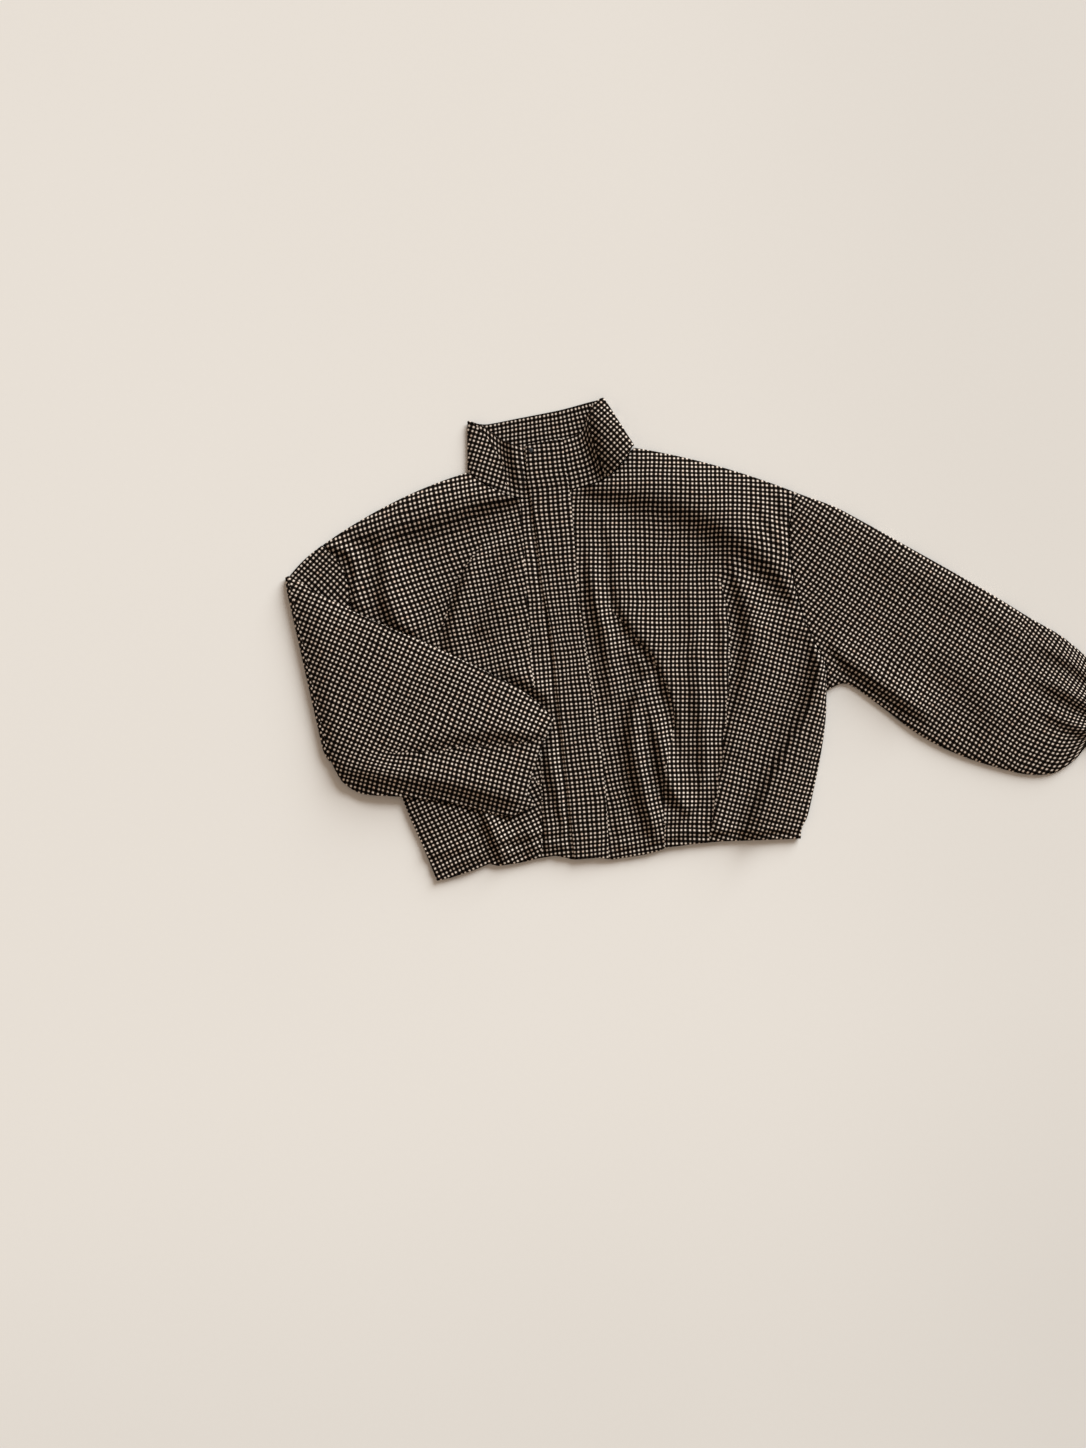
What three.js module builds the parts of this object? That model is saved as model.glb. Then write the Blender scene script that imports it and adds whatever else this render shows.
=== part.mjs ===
import * as THREE from 'three';

// Short jacket in small-check wool, laid flat on its back, in millimetres.
// X runs to the viewer's right, Y along the centre front towards the collar, Z up off the surface.
// One sleeve lies out to the right, the other is folded over the front.

// Cloth, and the gaps at seams and between a piece and the one it lies on
const CLOTH = 2.8;
const COLLAR_CLOTH = 2.6;
const PLACKET_CLOTH = 2.0;
const SEAM = 0.4;
const REST = 0.3;

// How far the fronts stand off the back, and how wide their rounded rims are
const FRONT_BASE = CLOTH + REST;
const PUFF = 3.6;
const RIM = 30;
const PLACKET_DIP = 2.2;
const PLACKET_BED = 3;
const PLACKET_BED_AT_NECK = 6;
const PLACKET_BED_RAMP = 7;
const HEM_CASING = 13;

// Shares of a front's rows at which its side becomes the armhole and its edge becomes the neck
const UNDERARM_ROW = 0.42;
const NECK_ROW = 0.815;

const V2 = (x, y) => new THREE.Vector2(x, y);
const V3 = (x, y, z) => new THREE.Vector3(x, y, z);
const mix = (a, b, t) => a + (b - a) * t;
const clamp01 = (t) => Math.min(1, Math.max(0, t));
const ease = (t) => clamp01(t) ** 2 * (3 - 2 * clamp01(t));
const rise = (distance, width) => 1 - (1 - clamp01(distance / width)) ** 2;
const spline = (rows) => new THREE.SplineCurve(rows.map((r) => V2(r.x, r.y)));

// Side seams, armholes and front neck, from the hem upwards
const SIDE_LEFT = spline([
  { x: 255, y: -441 },
  { x: 258, y: -428 },
  { x: 268, y: -411 },
  { x: 288, y: -351 },
  { x: 300, y: -304 },
  { x: 305, y: -269 },
]);
const ARMHOLE_LEFT = spline([
  { x: 305, y: -269 },
  { x: 307, y: -240 },
  { x: 297, y: -211 },
  { x: 286, y: -176 },
  { x: 279, y: -125 },
  { x: 281, y: -73 },
  { x: 293, y: -28 },
]);
const NECK_LEFT = spline([
  { x: 2, y: 1 },
  { x: 24, y: 3 },
  { x: 42, y: 5 },
  { x: 60, y: 8 },
  { x: 77, y: 16 },
  { x: 92, y: 29 },
  { x: 106, y: 46 },
]);
const SIDE_RIGHT = spline([
  { x: -185, y: -445 },
  { x: -195, y: -410 },
  { x: -209, y: -367 },
  { x: -219, y: -330 },
  { x: -231, y: -283 },
  { x: -243, y: -239 },
]);
const ARMHOLE_RIGHT = spline([
  { x: -243, y: -239 },
  { x: -253, y: -190 },
  { x: -257, y: -140 },
  { x: -252, y: -92 },
  { x: -258, y: -58 },
  { x: -278, y: -30 },
]);
const NECK_RIGHT = spline([
  { x: -2, y: -1 },
  { x: -29, y: -2 },
  { x: -50, y: 4 },
  { x: -71, y: 16 },
  { x: -87, y: 29 },
  { x: -95, y: 38 },
]);

// Folds of the fronts: three points on the crest, half widths before and after it, height
const FOLDS = [
  { name: 'centre drape crest', run: 'y', x: [38, 72, 92], y: [-120, -172, -232], before: 16, after: 9, h: 4.5 },
  { name: 'centre drape belly', run: 'y', x: [96, 100, 92], y: [-205, -262, -345], before: 18, after: 15, h: 5.0 },
  { name: 'centre drape valley', run: 'y', x: [70, 112, 128], y: [-150, -225, -300], before: 7, after: 9, h: -3.4 },
  { name: 'hem fold crest', run: 'y', x: [77, 82, 90], y: [-262, -352, -440], before: 13, after: 8, h: 5.2 },
  { name: 'hem fold valley', run: 'y', x: [97, 98, 104], y: [-325, -370, -425], before: 8, after: 12, h: -2.6 },
  { name: 'valley beside placket', run: 'y', x: [34, 54, 70], y: [-160, -290, -400], before: 12, after: 13, h: -2.6 },
  { name: 'long crease crest', run: 'y', x: [178, 171, 147], y: [-175, -300, -425], before: 22, after: 10, h: 2.6 },
  { name: 'long crease valley', run: 'y', x: [190, 184, 166], y: [-190, -300, -400], before: 8, after: 16, h: -2.2 },
  { name: 'underarm valley', run: 'y', x: [290, 250, 206], y: [-235, -312, -405], before: 20, after: 16, h: -2.4 },
  { name: 'left shoulder valley', run: 'x', x: [85, 170, 262], y: [-14, -46, -128], before: 17, after: 15, h: -2.2 },
  { name: 'left shoulder crest', run: 'x', x: [90, 180, 270], y: [-46, -84, -160], before: 18, after: 24, h: 1.4 },
  { name: 'armhole fold', run: 'x', x: [215, 245, 275], y: [-16, -48, -92], before: 8, after: 9, h: 1.4 },
  { name: 'right shoulder valley', run: 'x', x: [-262, -160, -62], y: [-38, -22, -2], before: 14, after: 13, h: -2.2 },
  { name: 'right chest crease', run: 'y', x: [-86, -118, -150], y: [-48, -86, -160], before: 14, after: 10, h: 1.8 },
  { name: 'right hem crease', run: 'y', x: [-117, -114, -110], y: [-372, -404, -436], before: 8, after: 9, h: -2.2 },
  { name: 'valley left of placket', run: 'y', x: [-46, -52, -56], y: [-345, -390, -432], before: 8, after: 8, h: -2.4 },
];

// A smooth curve through the three points of a fold, as one coordinate over the other
function crestAt(along, across, value) {
  const [a, b, c] = along;
  const [p, q, r] = across;
  const first = (p * (value - b) * (value - c)) / ((a - b) * (a - c));
  const second = (q * (value - a) * (value - c)) / ((b - a) * (b - c));
  const third = (r * (value - a) * (value - b)) / ((c - a) * (c - b));
  return first + second + third;
}

function foldHeight(x, y) {
  let sum = 0;
  for (const fold of FOLDS) {
    const runsUp = fold.run === 'y';
    const along = runsUp ? fold.y : fold.x;
    const across = runsUp ? fold.x : fold.y;
    const value = runsUp ? y : x;
    const low = Math.min(along[0], along[2]);
    const high = Math.max(along[0], along[2]);
    const fade = Math.min(26, (high - low) / 3);
    const window = ease((value - low + fade) / (2 * fade)) * ease((high + fade - value) / (2 * fade));
    if (window <= 0) continue;
    const crest = crestAt(along, across, Math.min(high, Math.max(low, value)));
    const off = (runsUp ? x : y) - crest;
    const width = off < 0 ? fold.before : fold.after;
    sum += fold.h * window * Math.exp(-((off / width) ** 2));
  }
  return sum;
}

// Outline of the hem, drawn up unevenly by its elastic
const HEM = [
  { x: -186, y: -445 },
  { x: -169, y: -443 },
  { x: -144, y: -438 },
  { x: -120, y: -431 },
  { x: -110, y: -435 },
  { x: -84, y: -434 },
  { x: -60, y: -431 },
  { x: -40, y: -430 },
  { x: -19, y: -437 },
  { x: 12, y: -438 },
  { x: 27, y: -442 },
  { x: 67, y: -440.5 },
  { x: 86, y: -437.5 },
  { x: 92, y: -434.7 },
  { x: 132, y: -434 },
  { x: 160, y: -434.5 },
  { x: 206, y: -438 },
  { x: 256, y: -441.5 },
];

function hemAt(x) {
  const after = HEM.findIndex((row) => row.x > x);
  if (after === 0) return HEM[0].y;
  if (after < 0) return HEM[HEM.length - 1].y;
  const low = HEM[after - 1];
  const high = HEM[after];
  return mix(low.y, high.y, (x - low.x) / (high.x - low.x));
}

// The fly strip over the centre front, from the hem to the top of the collar
const PLACKET_ROWS = [
  { y: -440, left: -18, right: 23 },
  { y: -383, left: -17, right: 27 },
  { y: -328, left: -17, right: 28 },
  { y: -254, left: -17, right: 25 },
  { y: -167, left: -17, right: 22 },
  { y: -105, left: -21, right: 21 },
  { y: -39, left: -22, right: 24 },
  { y: 2, left: -24, right: 24 },
  { y: 30, left: -25, right: 22 },
  { y: 64, left: -23, right: 22 },
];
// 1 on the bed that the placket lies in, 0 clear of it
function bedOfPlacket(point) {
  const after = PLACKET_ROWS.findIndex((row) => row.y > point.y);
  const high = PLACKET_ROWS[after < 0 ? PLACKET_ROWS.length - 1 : Math.max(1, after)];
  const low = PLACKET_ROWS[PLACKET_ROWS.indexOf(high) - 1];
  const share = clamp01((point.y - low.y) / (high.y - low.y));
  const beyondRight = point.x - mix(low.right, high.right, share);
  const beyondLeft = mix(low.left, high.left, share) - point.x;
  const bed = PLACKET_BED + PLACKET_BED_AT_NECK * ease((point.y + 40) / 34);
  return 1 - ease((Math.max(beyondRight, beyondLeft) - bed) / PLACKET_BED_RAMP);
}

// Puckers drawn up by the elastic in the hem
const PUCKER_PITCH = 19;
const PUCKER_HEIGHT = 1.1;
const PUCKER_REACH = 34;
const CASING_GROOVE = 0.9;

function hemRelief(x, above) {
  const pucker = Math.cos((2 * Math.PI * x) / PUCKER_PITCH) * Math.exp(-above / PUCKER_REACH);
  const groove = Math.exp(-(((above - HEM_CASING) / 5) ** 2));
  return PUCKER_HEIGHT * pucker - CASING_GROOVE * groove;
}

// Both faces of a wall as grids of points, turned into one closed solid
function wall(outer, inner, closed = false) {
  const rows = outer.length;
  const cols = outer[0].length;
  const flat = [...outer.flat(), ...inner.flat()];
  const index = [];
  const at = (face, i, j) => face * rows * cols + i * cols + (j % cols);
  const quad = (a, b, c, d) => index.push(a, b, c, a, c, d);
  const last = closed ? cols : cols - 1;
  for (let i = 0; i < rows - 1; i++) {
    for (let j = 0; j < last; j++) {
      quad(at(0, i, j), at(0, i, j + 1), at(0, i + 1, j + 1), at(0, i + 1, j));
      quad(at(1, i, j), at(1, i + 1, j), at(1, i + 1, j + 1), at(1, i, j + 1));
    }
  }
  for (let j = 0; j < last; j++) {
    quad(at(1, 0, j), at(1, 0, j + 1), at(0, 0, j + 1), at(0, 0, j));
    quad(at(0, rows - 1, j), at(0, rows - 1, j + 1), at(1, rows - 1, j + 1), at(1, rows - 1, j));
  }
  if (!closed) {
    for (let i = 0; i < rows - 1; i++) {
      quad(at(0, i, 0), at(0, i + 1, 0), at(1, i + 1, 0), at(1, i, 0));
      quad(at(1, i, cols - 1), at(1, i + 1, cols - 1), at(0, i + 1, cols - 1), at(0, i, cols - 1));
    }
  }
  return facingOut(flat, index);
}

function facingOut(points, index) {
  let volume = 0;
  for (let k = 0; k < index.length; k += 3) {
    const [a, b, c] = [points[index[k]], points[index[k + 1]], points[index[k + 2]]];
    volume += a.dot(b.clone().cross(c)) / 6;
  }
  const order = volume < 0 ? index.slice().reverse() : index;
  const geometry = new THREE.BufferGeometry();
  geometry.setAttribute('position', new THREE.Float32BufferAttribute(points.flatMap((p) => [p.x, p.y, p.z]), 3));
  geometry.setIndex(order);
  geometry.computeVertexNormals();
  return geometry;
}

function grid(rows, cols, pointAt) {
  const made = [];
  for (let i = 0; i <= rows; i++) {
    const row = [];
    for (let j = 0; j <= cols; j++) row.push(pointAt(j / cols, i / rows));
    made.push(row);
  }
  return made;
}

// Plan of a front: rows between its inner edge (centre front, then neck) and its outer edge
// (side seam, then armhole), with the uneven hem and a slight rise of the shoulder
function frontPlan(front, s, t) {
  const inner = t < NECK_ROW
    ? V2(front.edgeX, mix(hemAt(front.edgeX), front.neckY, t / NECK_ROW))
    : front.neck.getPointAt((t - NECK_ROW) / (1 - NECK_ROW));
  const outer = t < UNDERARM_ROW
    ? front.side.getPointAt(t / UNDERARM_ROW)
    : front.armhole.getPointAt((t - UNDERARM_ROW) / (1 - UNDERARM_ROW));
  const point = inner.lerp(outer, s);
  const straightHem = mix(hemAt(front.edgeX), front.side.getPointAt(0).y, s);
  const nearHem = 1 - ease(t / 0.14);
  const nearShoulder = 4 * s * (1 - s) * ease((t - 0.75) / 0.25);
  point.y += (hemAt(point.x) - straightHem) * nearHem + front.shoulderRise * nearShoulder;
  return point;
}

// Height of the upper face of a front at a point of its plan
function frontTop(front, s, t, point) {
  const toHem = t * front.height;
  const toShoulder = (1 - t) * front.height * 0.8;
  const toSide = (1 - s) * front.width;
  const sideRim = mix(rise(toSide, RIM), 1, ease((t - UNDERARM_ROW) / 0.12));
  const rims = rise(toHem, RIM * 0.7) * rise(toShoulder, RIM) * sideRim;
  const underPlacket = bedOfPlacket(point);
  const clearOfSleeve = front.covered ? coveredBySleeve(point.x, point.y) : 0;
  const relief = foldHeight(point.x, point.y) * rims * (1 - underPlacket) * (1 - clearOfSleeve);
  const hem = hemRelief(point.x, toHem) * (1 - underPlacket);
  const level = FRONT_BASE + CLOTH + PUFF * rims - PLACKET_DIP * underPlacket * rims;
  return Math.max(level + relief + hem, FRONT_BASE + CLOTH);
}

// 1 where the folded sleeve lies on the front, 0 clear of it
function coveredBySleeve(x, y) {
  const below = ease((SLEEVE_OVER_TOP(x) + 8 - y) / 10);
  const above = ease((y - SLEEVE_OVER_LOW(x) + 8) / 10);
  return below * above * ease((-16 - x) / 8);
}
const SLEEVE_OVER_TOP = (x) => -63 - (x + 322) * 0.66;
const SLEEVE_OVER_LOW = (x) => -376 + Math.max(0, -83 - x) * 0.3;

const FRONT_LEFT = {
  edgeX: 2, neckY: 1, neck: NECK_LEFT, side: SIDE_LEFT, armhole: ARMHOLE_LEFT,
  shoulderRise: 3.5, width: 275, height: 460,
};
const FRONT_RIGHT = {
  edgeX: -2, neckY: -1, neck: NECK_RIGHT, side: SIDE_RIGHT, armhole: ARMHOLE_RIGHT,
  shoulderRise: 3, width: 235, height: 450, covered: true,
};

// Rows are closer together along the neck, and columns along the placket
function front(shape, belowNeck, alongNeck, cols) {
  const rows = belowNeck + alongNeck;
  const outer = grid(rows, cols, (share, height) => {
    const row = height * rows;
    const t = row <= belowNeck
      ? (NECK_ROW * row) / belowNeck
      : mix(NECK_ROW, 1, (row - belowNeck) / alongNeck);
    const s = mix(share, share ** 1.7, 0.6);
    const point = frontPlan(shape, s, t);
    return V3(point.x, point.y, frontTop(shape, s, t, point));
  });
  const inner = outer.map((row) => row.map((p) => V3(p.x, p.y, p.z - CLOTH)));
  return wall(outer, inner);
}

// The back lies flat under the fronts, a little inside their outline
const BACK_INSET = 1.2;
const BACK_ROWS = [
  { left: SIDE_RIGHT, right: SIDE_LEFT, from: 0, to: 1, steps: 5 },
  { left: ARMHOLE_RIGHT, right: ARMHOLE_LEFT, from: 0, to: 1, steps: 7 },
];
const SHOULDER_ROWS = [
  { share: 0.35, rise: 3.0 },
  { share: 0.7, rise: 2.6 },
  { share: 1.0, rise: -0.8 },
];
const NECK_POINT_RIGHT = V2(-95, 38);
const NECK_POINT_LEFT = V2(106, 46);

function back() {
  const edges = [];
  BACK_ROWS.forEach((part, n) => {
    for (let i = n; i <= part.steps; i++) {
      const t = mix(part.from, part.to, i / part.steps);
      edges.push([part.left.getPointAt(t), part.right.getPointAt(t)]);
    }
  });
  const shoulderRight = ARMHOLE_RIGHT.getPointAt(1);
  const shoulderLeft = ARMHOLE_LEFT.getPointAt(1);
  for (const row of SHOULDER_ROWS) {
    const a = shoulderRight.clone().lerp(NECK_POINT_RIGHT, row.share);
    const b = shoulderLeft.clone().lerp(NECK_POINT_LEFT, row.share);
    edges.push([V2(a.x, a.y + row.rise - BACK_INSET), V2(b.x, b.y + row.rise - BACK_INSET)]);
  }
  const cols = 16;
  const outer = edges.map(([a, b], i) => {
    const row = [];
    for (let j = 0; j <= cols; j++) {
      const x = mix(a.x + BACK_INSET, b.x - BACK_INSET, j / cols);
      row.push(V3(x, i === 0 ? hemAt(x) + BACK_INSET : mix(a.y, b.y, j / cols), CLOTH));
    }
    return row;
  });
  const inner = outer.map((row) => row.map((p) => V3(p.x, p.y, 0)));
  return wall(outer, inner);
}

const PLACKET_LEVEL = FRONT_BASE + CLOTH + PUFF - PLACKET_DIP + REST + 0.15;
const HEM_DROP = 1.6;

function placket() {
  const steps = 34;
  const left = spline(PLACKET_ROWS.map((r) => ({ x: r.left, y: r.y })));
  const right = spline(PLACKET_ROWS.map((r) => ({ x: r.right, y: r.y })));
  const outer = grid(steps, 4, (s, t) => {
    const point = left.getPoint(t).lerp(right.getPoint(t), s);
    const slant = 2.4 * (s - 0.5) * ease((point.y - 20) / 40) + (hemAt(point.x) - PLACKET_ROWS[0].y) * (1 - ease(t / 0.1));
    const level = PLACKET_LEVEL - HEM_DROP * (1 - rise(point.y - PLACKET_ROWS[0].y, RIM));
    return V3(point.x, point.y + slant, level + PLACKET_CLOTH);
  });
  const inner = outer.map((row) => row.map((p) => V3(p.x, p.y, p.z - PLACKET_CLOTH)));
  return wall(outer, inner);
}

// Collar band round the neck, from one front end to the other. Its seam lies along a front's neck
// at a share of its length, or at a point; then the top edge, and the heights of the wall's middle
const COLLAR_ROWS = [
  { neck: 'left', share: 0.01, bz: 5.7, tx: 3, ty: 62.5, tz: 5.8 },
  { neck: 'left', share: 0.2, bz: 5.7, tx: 23, ty: 65, tz: 5.8 },
  { neck: 'left', share: 0.3, bz: 6.8, tx: 32, ty: 67, tz: 7.6 },
  { neck: 'left', share: 0.4, bz: 7.4, tx: 42, ty: 70, tz: 8.8 },
  { neck: 'left', share: 0.5, bz: 6.4, tx: 50, ty: 78, tz: 8.6 },
  { neck: 'left', share: 0.59, bz: 5.6, tx: 56, ty: 92, tz: 4.9 },
  { neck: 'left', share: 0.67, bz: 6.8, tx: 61, ty: 100, tz: 7.6 },
  { neck: 'left', share: 0.79, bz: 7.8, tx: 67, ty: 105, tz: 8.6 },
  { neck: 'left', share: 0.9, bz: 7.2, tx: 72, ty: 108, tz: 7.6 },
  { bx: 105.5, by: 47.8, bz: 4.6, tx: 76, ty: 109, tz: 4.4 },
  { bx: 103, by: 47.6, bz: 1.6, tx: 73, ty: 108.5, tz: 1.4 },
  { bx: 70, by: 45.6, bz: 1.3, tx: 58, ty: 106.5, tz: 1.3 },
  { bx: 25, by: 43.6, bz: 1.3, tx: 23, ty: 101, tz: 1.3 },
  { bx: -30, by: 41.2, bz: 1.3, tx: -28, ty: 96.5, tz: 1.3 },
  { bx: -70, by: 39.8, bz: 1.3, tx: -66, ty: 93.5, tz: 1.3 },
  { bx: -91, by: 40.0, bz: 1.5, tx: -82, ty: 97, tz: 1.4 },
  { bx: -94, by: 40.4, bz: 4.4, tx: -88, ty: 99.5, tz: 4.3 },
  { neck: 'right', share: 0.93, bz: 7.2, tx: -82, ty: 97, tz: 7.2 },
  { neck: 'right', share: 0.8, bz: 7.9, tx: -70, ty: 90, tz: 8.2 },
  { neck: 'right', share: 0.6, bz: 7.8, tx: -55, ty: 76, tz: 8.4 },
  { neck: 'right', share: 0.42, bz: 7.2, tx: -42, ty: 67, tz: 8.0 },
  { neck: 'right', share: 0.26, bz: 5.8, tx: -30, ty: 62, tz: 6.0 },
  { neck: 'right', share: 0.01, bz: 5.7, tx: -3, ty: 61.5, tz: 5.8 },
];
const COLLAR_GAP = 1.0;

// The point of a collar row at its seam, just inside the neck edge of the front it is sewn to
function collarSeam(row) {
  if (!row.neck) return V3(row.bx, row.by, row.bz);
  const curve = row.neck === 'left' ? NECK_LEFT : NECK_RIGHT;
  const point = curve.getPointAt(row.share);
  const along = curve.getTangentAt(row.share);
  const side = row.neck === 'left' ? 1 : -1;
  return V3(point.x - along.y * COLLAR_GAP * side, point.y + along.x * COLLAR_GAP * side, row.bz);
}
const COLLAR_BELLY = 0.7;

function collar() {
  const tops = COLLAR_ROWS.map((r) => V3(r.tx, r.ty, r.tz));
  const seam = new THREE.CatmullRomCurve3(COLLAR_ROWS.map(collarSeam), false, 'catmullrom', 0.4);
  const edge = new THREE.CatmullRomCurve3(tops, false, 'catmullrom', 0.4);
  const around = (COLLAR_ROWS.length - 1) * 2;
  const up = 4;
  const middle = [];
  for (let i = 0; i <= around; i++) {
    const [a, b] = [seam.getPoint(i / around), edge.getPoint(i / around)];
    const row = [];
    for (let j = 0; j <= up; j++) {
      const p = a.clone().lerp(b, j / up);
      const onTop = ease((p.z - 5.5) / 2) * ease((Math.abs(p.x) - 26) / 8);
      p.z += COLLAR_BELLY * Math.sin((Math.PI * j) / up) * onTop;
      row.push(p);
    }
    middle.push(row);
  }
  const faces = [1, -1].map((side) => middle.map((row, i) => row.map((p, j) => {
    const before = middle[Math.max(0, i - 1)][j];
    const after = middle[Math.min(around, i + 1)][j];
    const along = after.clone().sub(before).normalize();
    const across = row[Math.min(up, j + 1)].clone().sub(row[Math.max(0, j - 1)]).normalize();
    const out = along.cross(across).normalize();
    const moved = p.clone().addScaledVector(out, (side * COLLAR_CLOTH) / 2);
    return V3(moved.x, moved.y, Math.max(0, moved.z));
  })));
  return wall(faces[0], faces[1]);
}

// The sleeve laid out to the right: upper and lower edges in plan and the height of its crown
const SLEEVE_OUT_ROWS = [
  { ux: 294, uy: -28, lx: 306, ly: -269, crown: 9.4 },
  { ux: 332, uy: -52, lx: 331, ly: -264, crown: 9.4 },
  { ux: 377, uy: -83, lx: 366, ly: -293, crown: 9.5 },
  { ux: 422, uy: -115, lx: 410, ly: -334, crown: 9.5 },
  { ux: 467, uy: -147, lx: 455, ly: -363, crown: 9.5 },
  { ux: 512, uy: -180, lx: 501, ly: -384, crown: 9.5 },
  { ux: 556, uy: -214, lx: 537, ly: -396, crown: 9.5 },
  { ux: 590, uy: -239, lx: 567, ly: -397, crown: 9.5 },
  { ux: 620, uy: -270, lx: 592, ly: -385, crown: 9.4 },
  { ux: 639, uy: -292, lx: 607, ly: -371, crown: 9.2 },
  { ux: 648, uy: -306, lx: 615, ly: -368, crown: 8.8 },
  { ux: 661, uy: -313, lx: 628, ly: -376, crown: 8.8 },
];
const SLEEVE_FOLDS = [
  { name: 'band over the elbow', at: 0.52, slope: 0.34, from: 0.12, to: 0.66, width: 0.055, h: -1.7 },
  { name: 'crest beside the band', at: 0.62, slope: 0.30, from: 0.16, to: 0.66, width: 0.060, h: 1.3 },
  { name: 'lower edge crest', at: 0.93, slope: -0.10, from: 0.06, to: 0.44, width: 0.035, h: 2.0 },
  { name: 'lower edge valley', at: 0.84, slope: 0.02, from: 0.04, to: 0.40, width: 0.035, h: -2.2 },
  { name: 'upper crest', at: 0.20, slope: 0.05, from: 0.20, to: 0.80, width: 0.070, h: 0.9 },
];
const GATHERS = 7;
const GATHER_HEIGHT = 1.7;
const SLEEVE_EDGE = 6.0;
const ARMHOLE_GAP = SEAM + 0.5;

function sleeveRelief(u, v) {
  let sum = 0;
  for (const fold of SLEEVE_FOLDS) {
    const window = ease((u - fold.from + 0.06) / 0.12) * ease((fold.to + 0.06 - u) / 0.12);
    const off = v - fold.at - fold.slope * (u - fold.from);
    sum += fold.h * window * Math.exp(-((off / fold.width) ** 2));
  }
  const drawn = ease((u - 0.66) / 0.24);
  return sum + GATHER_HEIGHT * drawn * Math.cos(2 * Math.PI * GATHERS * v);
}

function sleeveLeft() {
  const lengths = SLEEVE_OUT_ROWS.length - 1;
  const upper = new THREE.SplineCurve(SLEEVE_OUT_ROWS.map((r) => V2(r.ux, r.uy)));
  const lower = new THREE.SplineCurve(SLEEVE_OUT_ROWS.map((r) => V2(r.lx, r.ly)));
  const crowns = new THREE.SplineCurve(SLEEVE_OUT_ROWS.map((r, i) => V2(i / lengths, r.crown)));
  const long = lengths * 2;
  const half = 15;
  const faces = [[], []];
  for (let i = 0; i <= long; i++) {
    const u = i / long;
    const [a, b] = [upper.getPoint(u), lower.getPoint(u)];
    const crown = crowns.getPoint(u).y;
    const ring = [[], []];
    for (let k = 0; k < 2 * half; k++) {
      const onTop = k <= half;
      const v = onTop ? k / half : 2 - k / half;
      const even = 0.5 - 0.5 * Math.cos(Math.PI * v);
      const share = mix(v, even, 0.55);
      const point = a.clone().lerp(b, share);
      const seam = ARMHOLE_LEFT.getPointAt(1 - share);
      const bend = (1 - ease(u / 0.2));
      point.x += (seam.x + ARMHOLE_GAP - mix(294, 306, share)) * bend;
      point.y += (seam.y - mix(-28, -269, share)) * bend;
      const fromEdge = Math.min(share, 1 - share) * a.distanceTo(b);
      const swell = rise(fromEdge, 34);
      const edgeTop = SLEEVE_EDGE / 2 + (SLEEVE_EDGE / 2) * rise(fromEdge, 5);
      const relief = sleeveRelief(u, share) * swell;
      const top = edgeTop + (crown - SLEEVE_EDGE) * swell + relief;
      const under = (SLEEVE_EDGE / 2) * (1 - rise(fromEdge, 5));
      const inward = CLOTH * (1 - clamp01(fromEdge / 6));
      const side = share < 0.5 ? 1 : -1;
      const across = b.clone().sub(a).normalize().multiplyScalar(inward * side);
      const hollowTop = Math.max(top - CLOTH, CLOTH + 0.4);
      const midEdge = SLEEVE_EDGE / 2;
      const closing = rise(fromEdge, 8);
      ring[0].push(V3(point.x, point.y, onTop ? top : under));
      const z = onTop ? mix(midEdge + 0.2, hollowTop, closing) : mix(midEdge - 0.2, CLOTH, closing);
      ring[1].push(V3(point.x + across.x, point.y + across.y, z));
    }
    faces[0].push(ring[0]);
    faces[1].push(ring[1]);
  }
  return wall(faces[0], faces[1], true);
}

// The other sleeve: a short stretch out from the armhole, a fold, then the length over the front
const FOLD_RADIUS = 6.6;
const UNDER_THICK = 5.2;
const OVER_UNDERSIDE = 10.0;
const OVER_THICK = 6.6;
const OVER_RIM = 4.4;
const FOLD_TOP = V2(-322, -63);
const FOLD_LOW = V2(-296, -289);
const OVER_ROWS = [
  { ux: -322, uy: -63, lx: -296, ly: -289 },
  { ux: -286, uy: -90, lx: -284, ly: -316 },
  { ux: -251, uy: -113, lx: -262, ly: -329 },
  { ux: -192, uy: -147, lx: -218, ly: -337 },
  { ux: -149, uy: -172, lx: -179, ly: -345 },
  { ux: -95, uy: -205, lx: -140, ly: -356 },
  { ux: -52, uy: -236, lx: -106, ly: -370 },
  { ux: -26, uy: -259, lx: -84, ly: -374 },
];
const OVER_FOLDS = [
  { name: 'gather band', at: 0.62, slope: -0.62, from: 0.42, to: 0.94, width: 0.07, h: 1.5 },
  { name: 'valley below it', at: 0.78, slope: -0.62, from: 0.46, to: 0.96, width: 0.07, h: -1.3 },
  { name: 'end corner crease', at: 0.86, slope: 0.10, from: 0.86, to: 1.0, width: 0.05, h: -1.6 },
  { name: 'upper edge crest', at: 0.10, slope: 0.02, from: 0.2, to: 0.9, width: 0.06, h: 0.8 },
];
const LOWER_STEP = 4;
const LOWER_STEP_DROP = 2.6;

function overRelief(u, v) {
  let sum = 0;
  for (const fold of OVER_FOLDS) {
    const window = ease((u - fold.from + 0.08) / 0.16) * ease((fold.to + 0.08 - u) / 0.16);
    const off = v - fold.at - fold.slope * (u - fold.from);
    sum += fold.h * window * Math.exp(-((off / fold.width) ** 2));
  }
  return sum;
}

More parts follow.
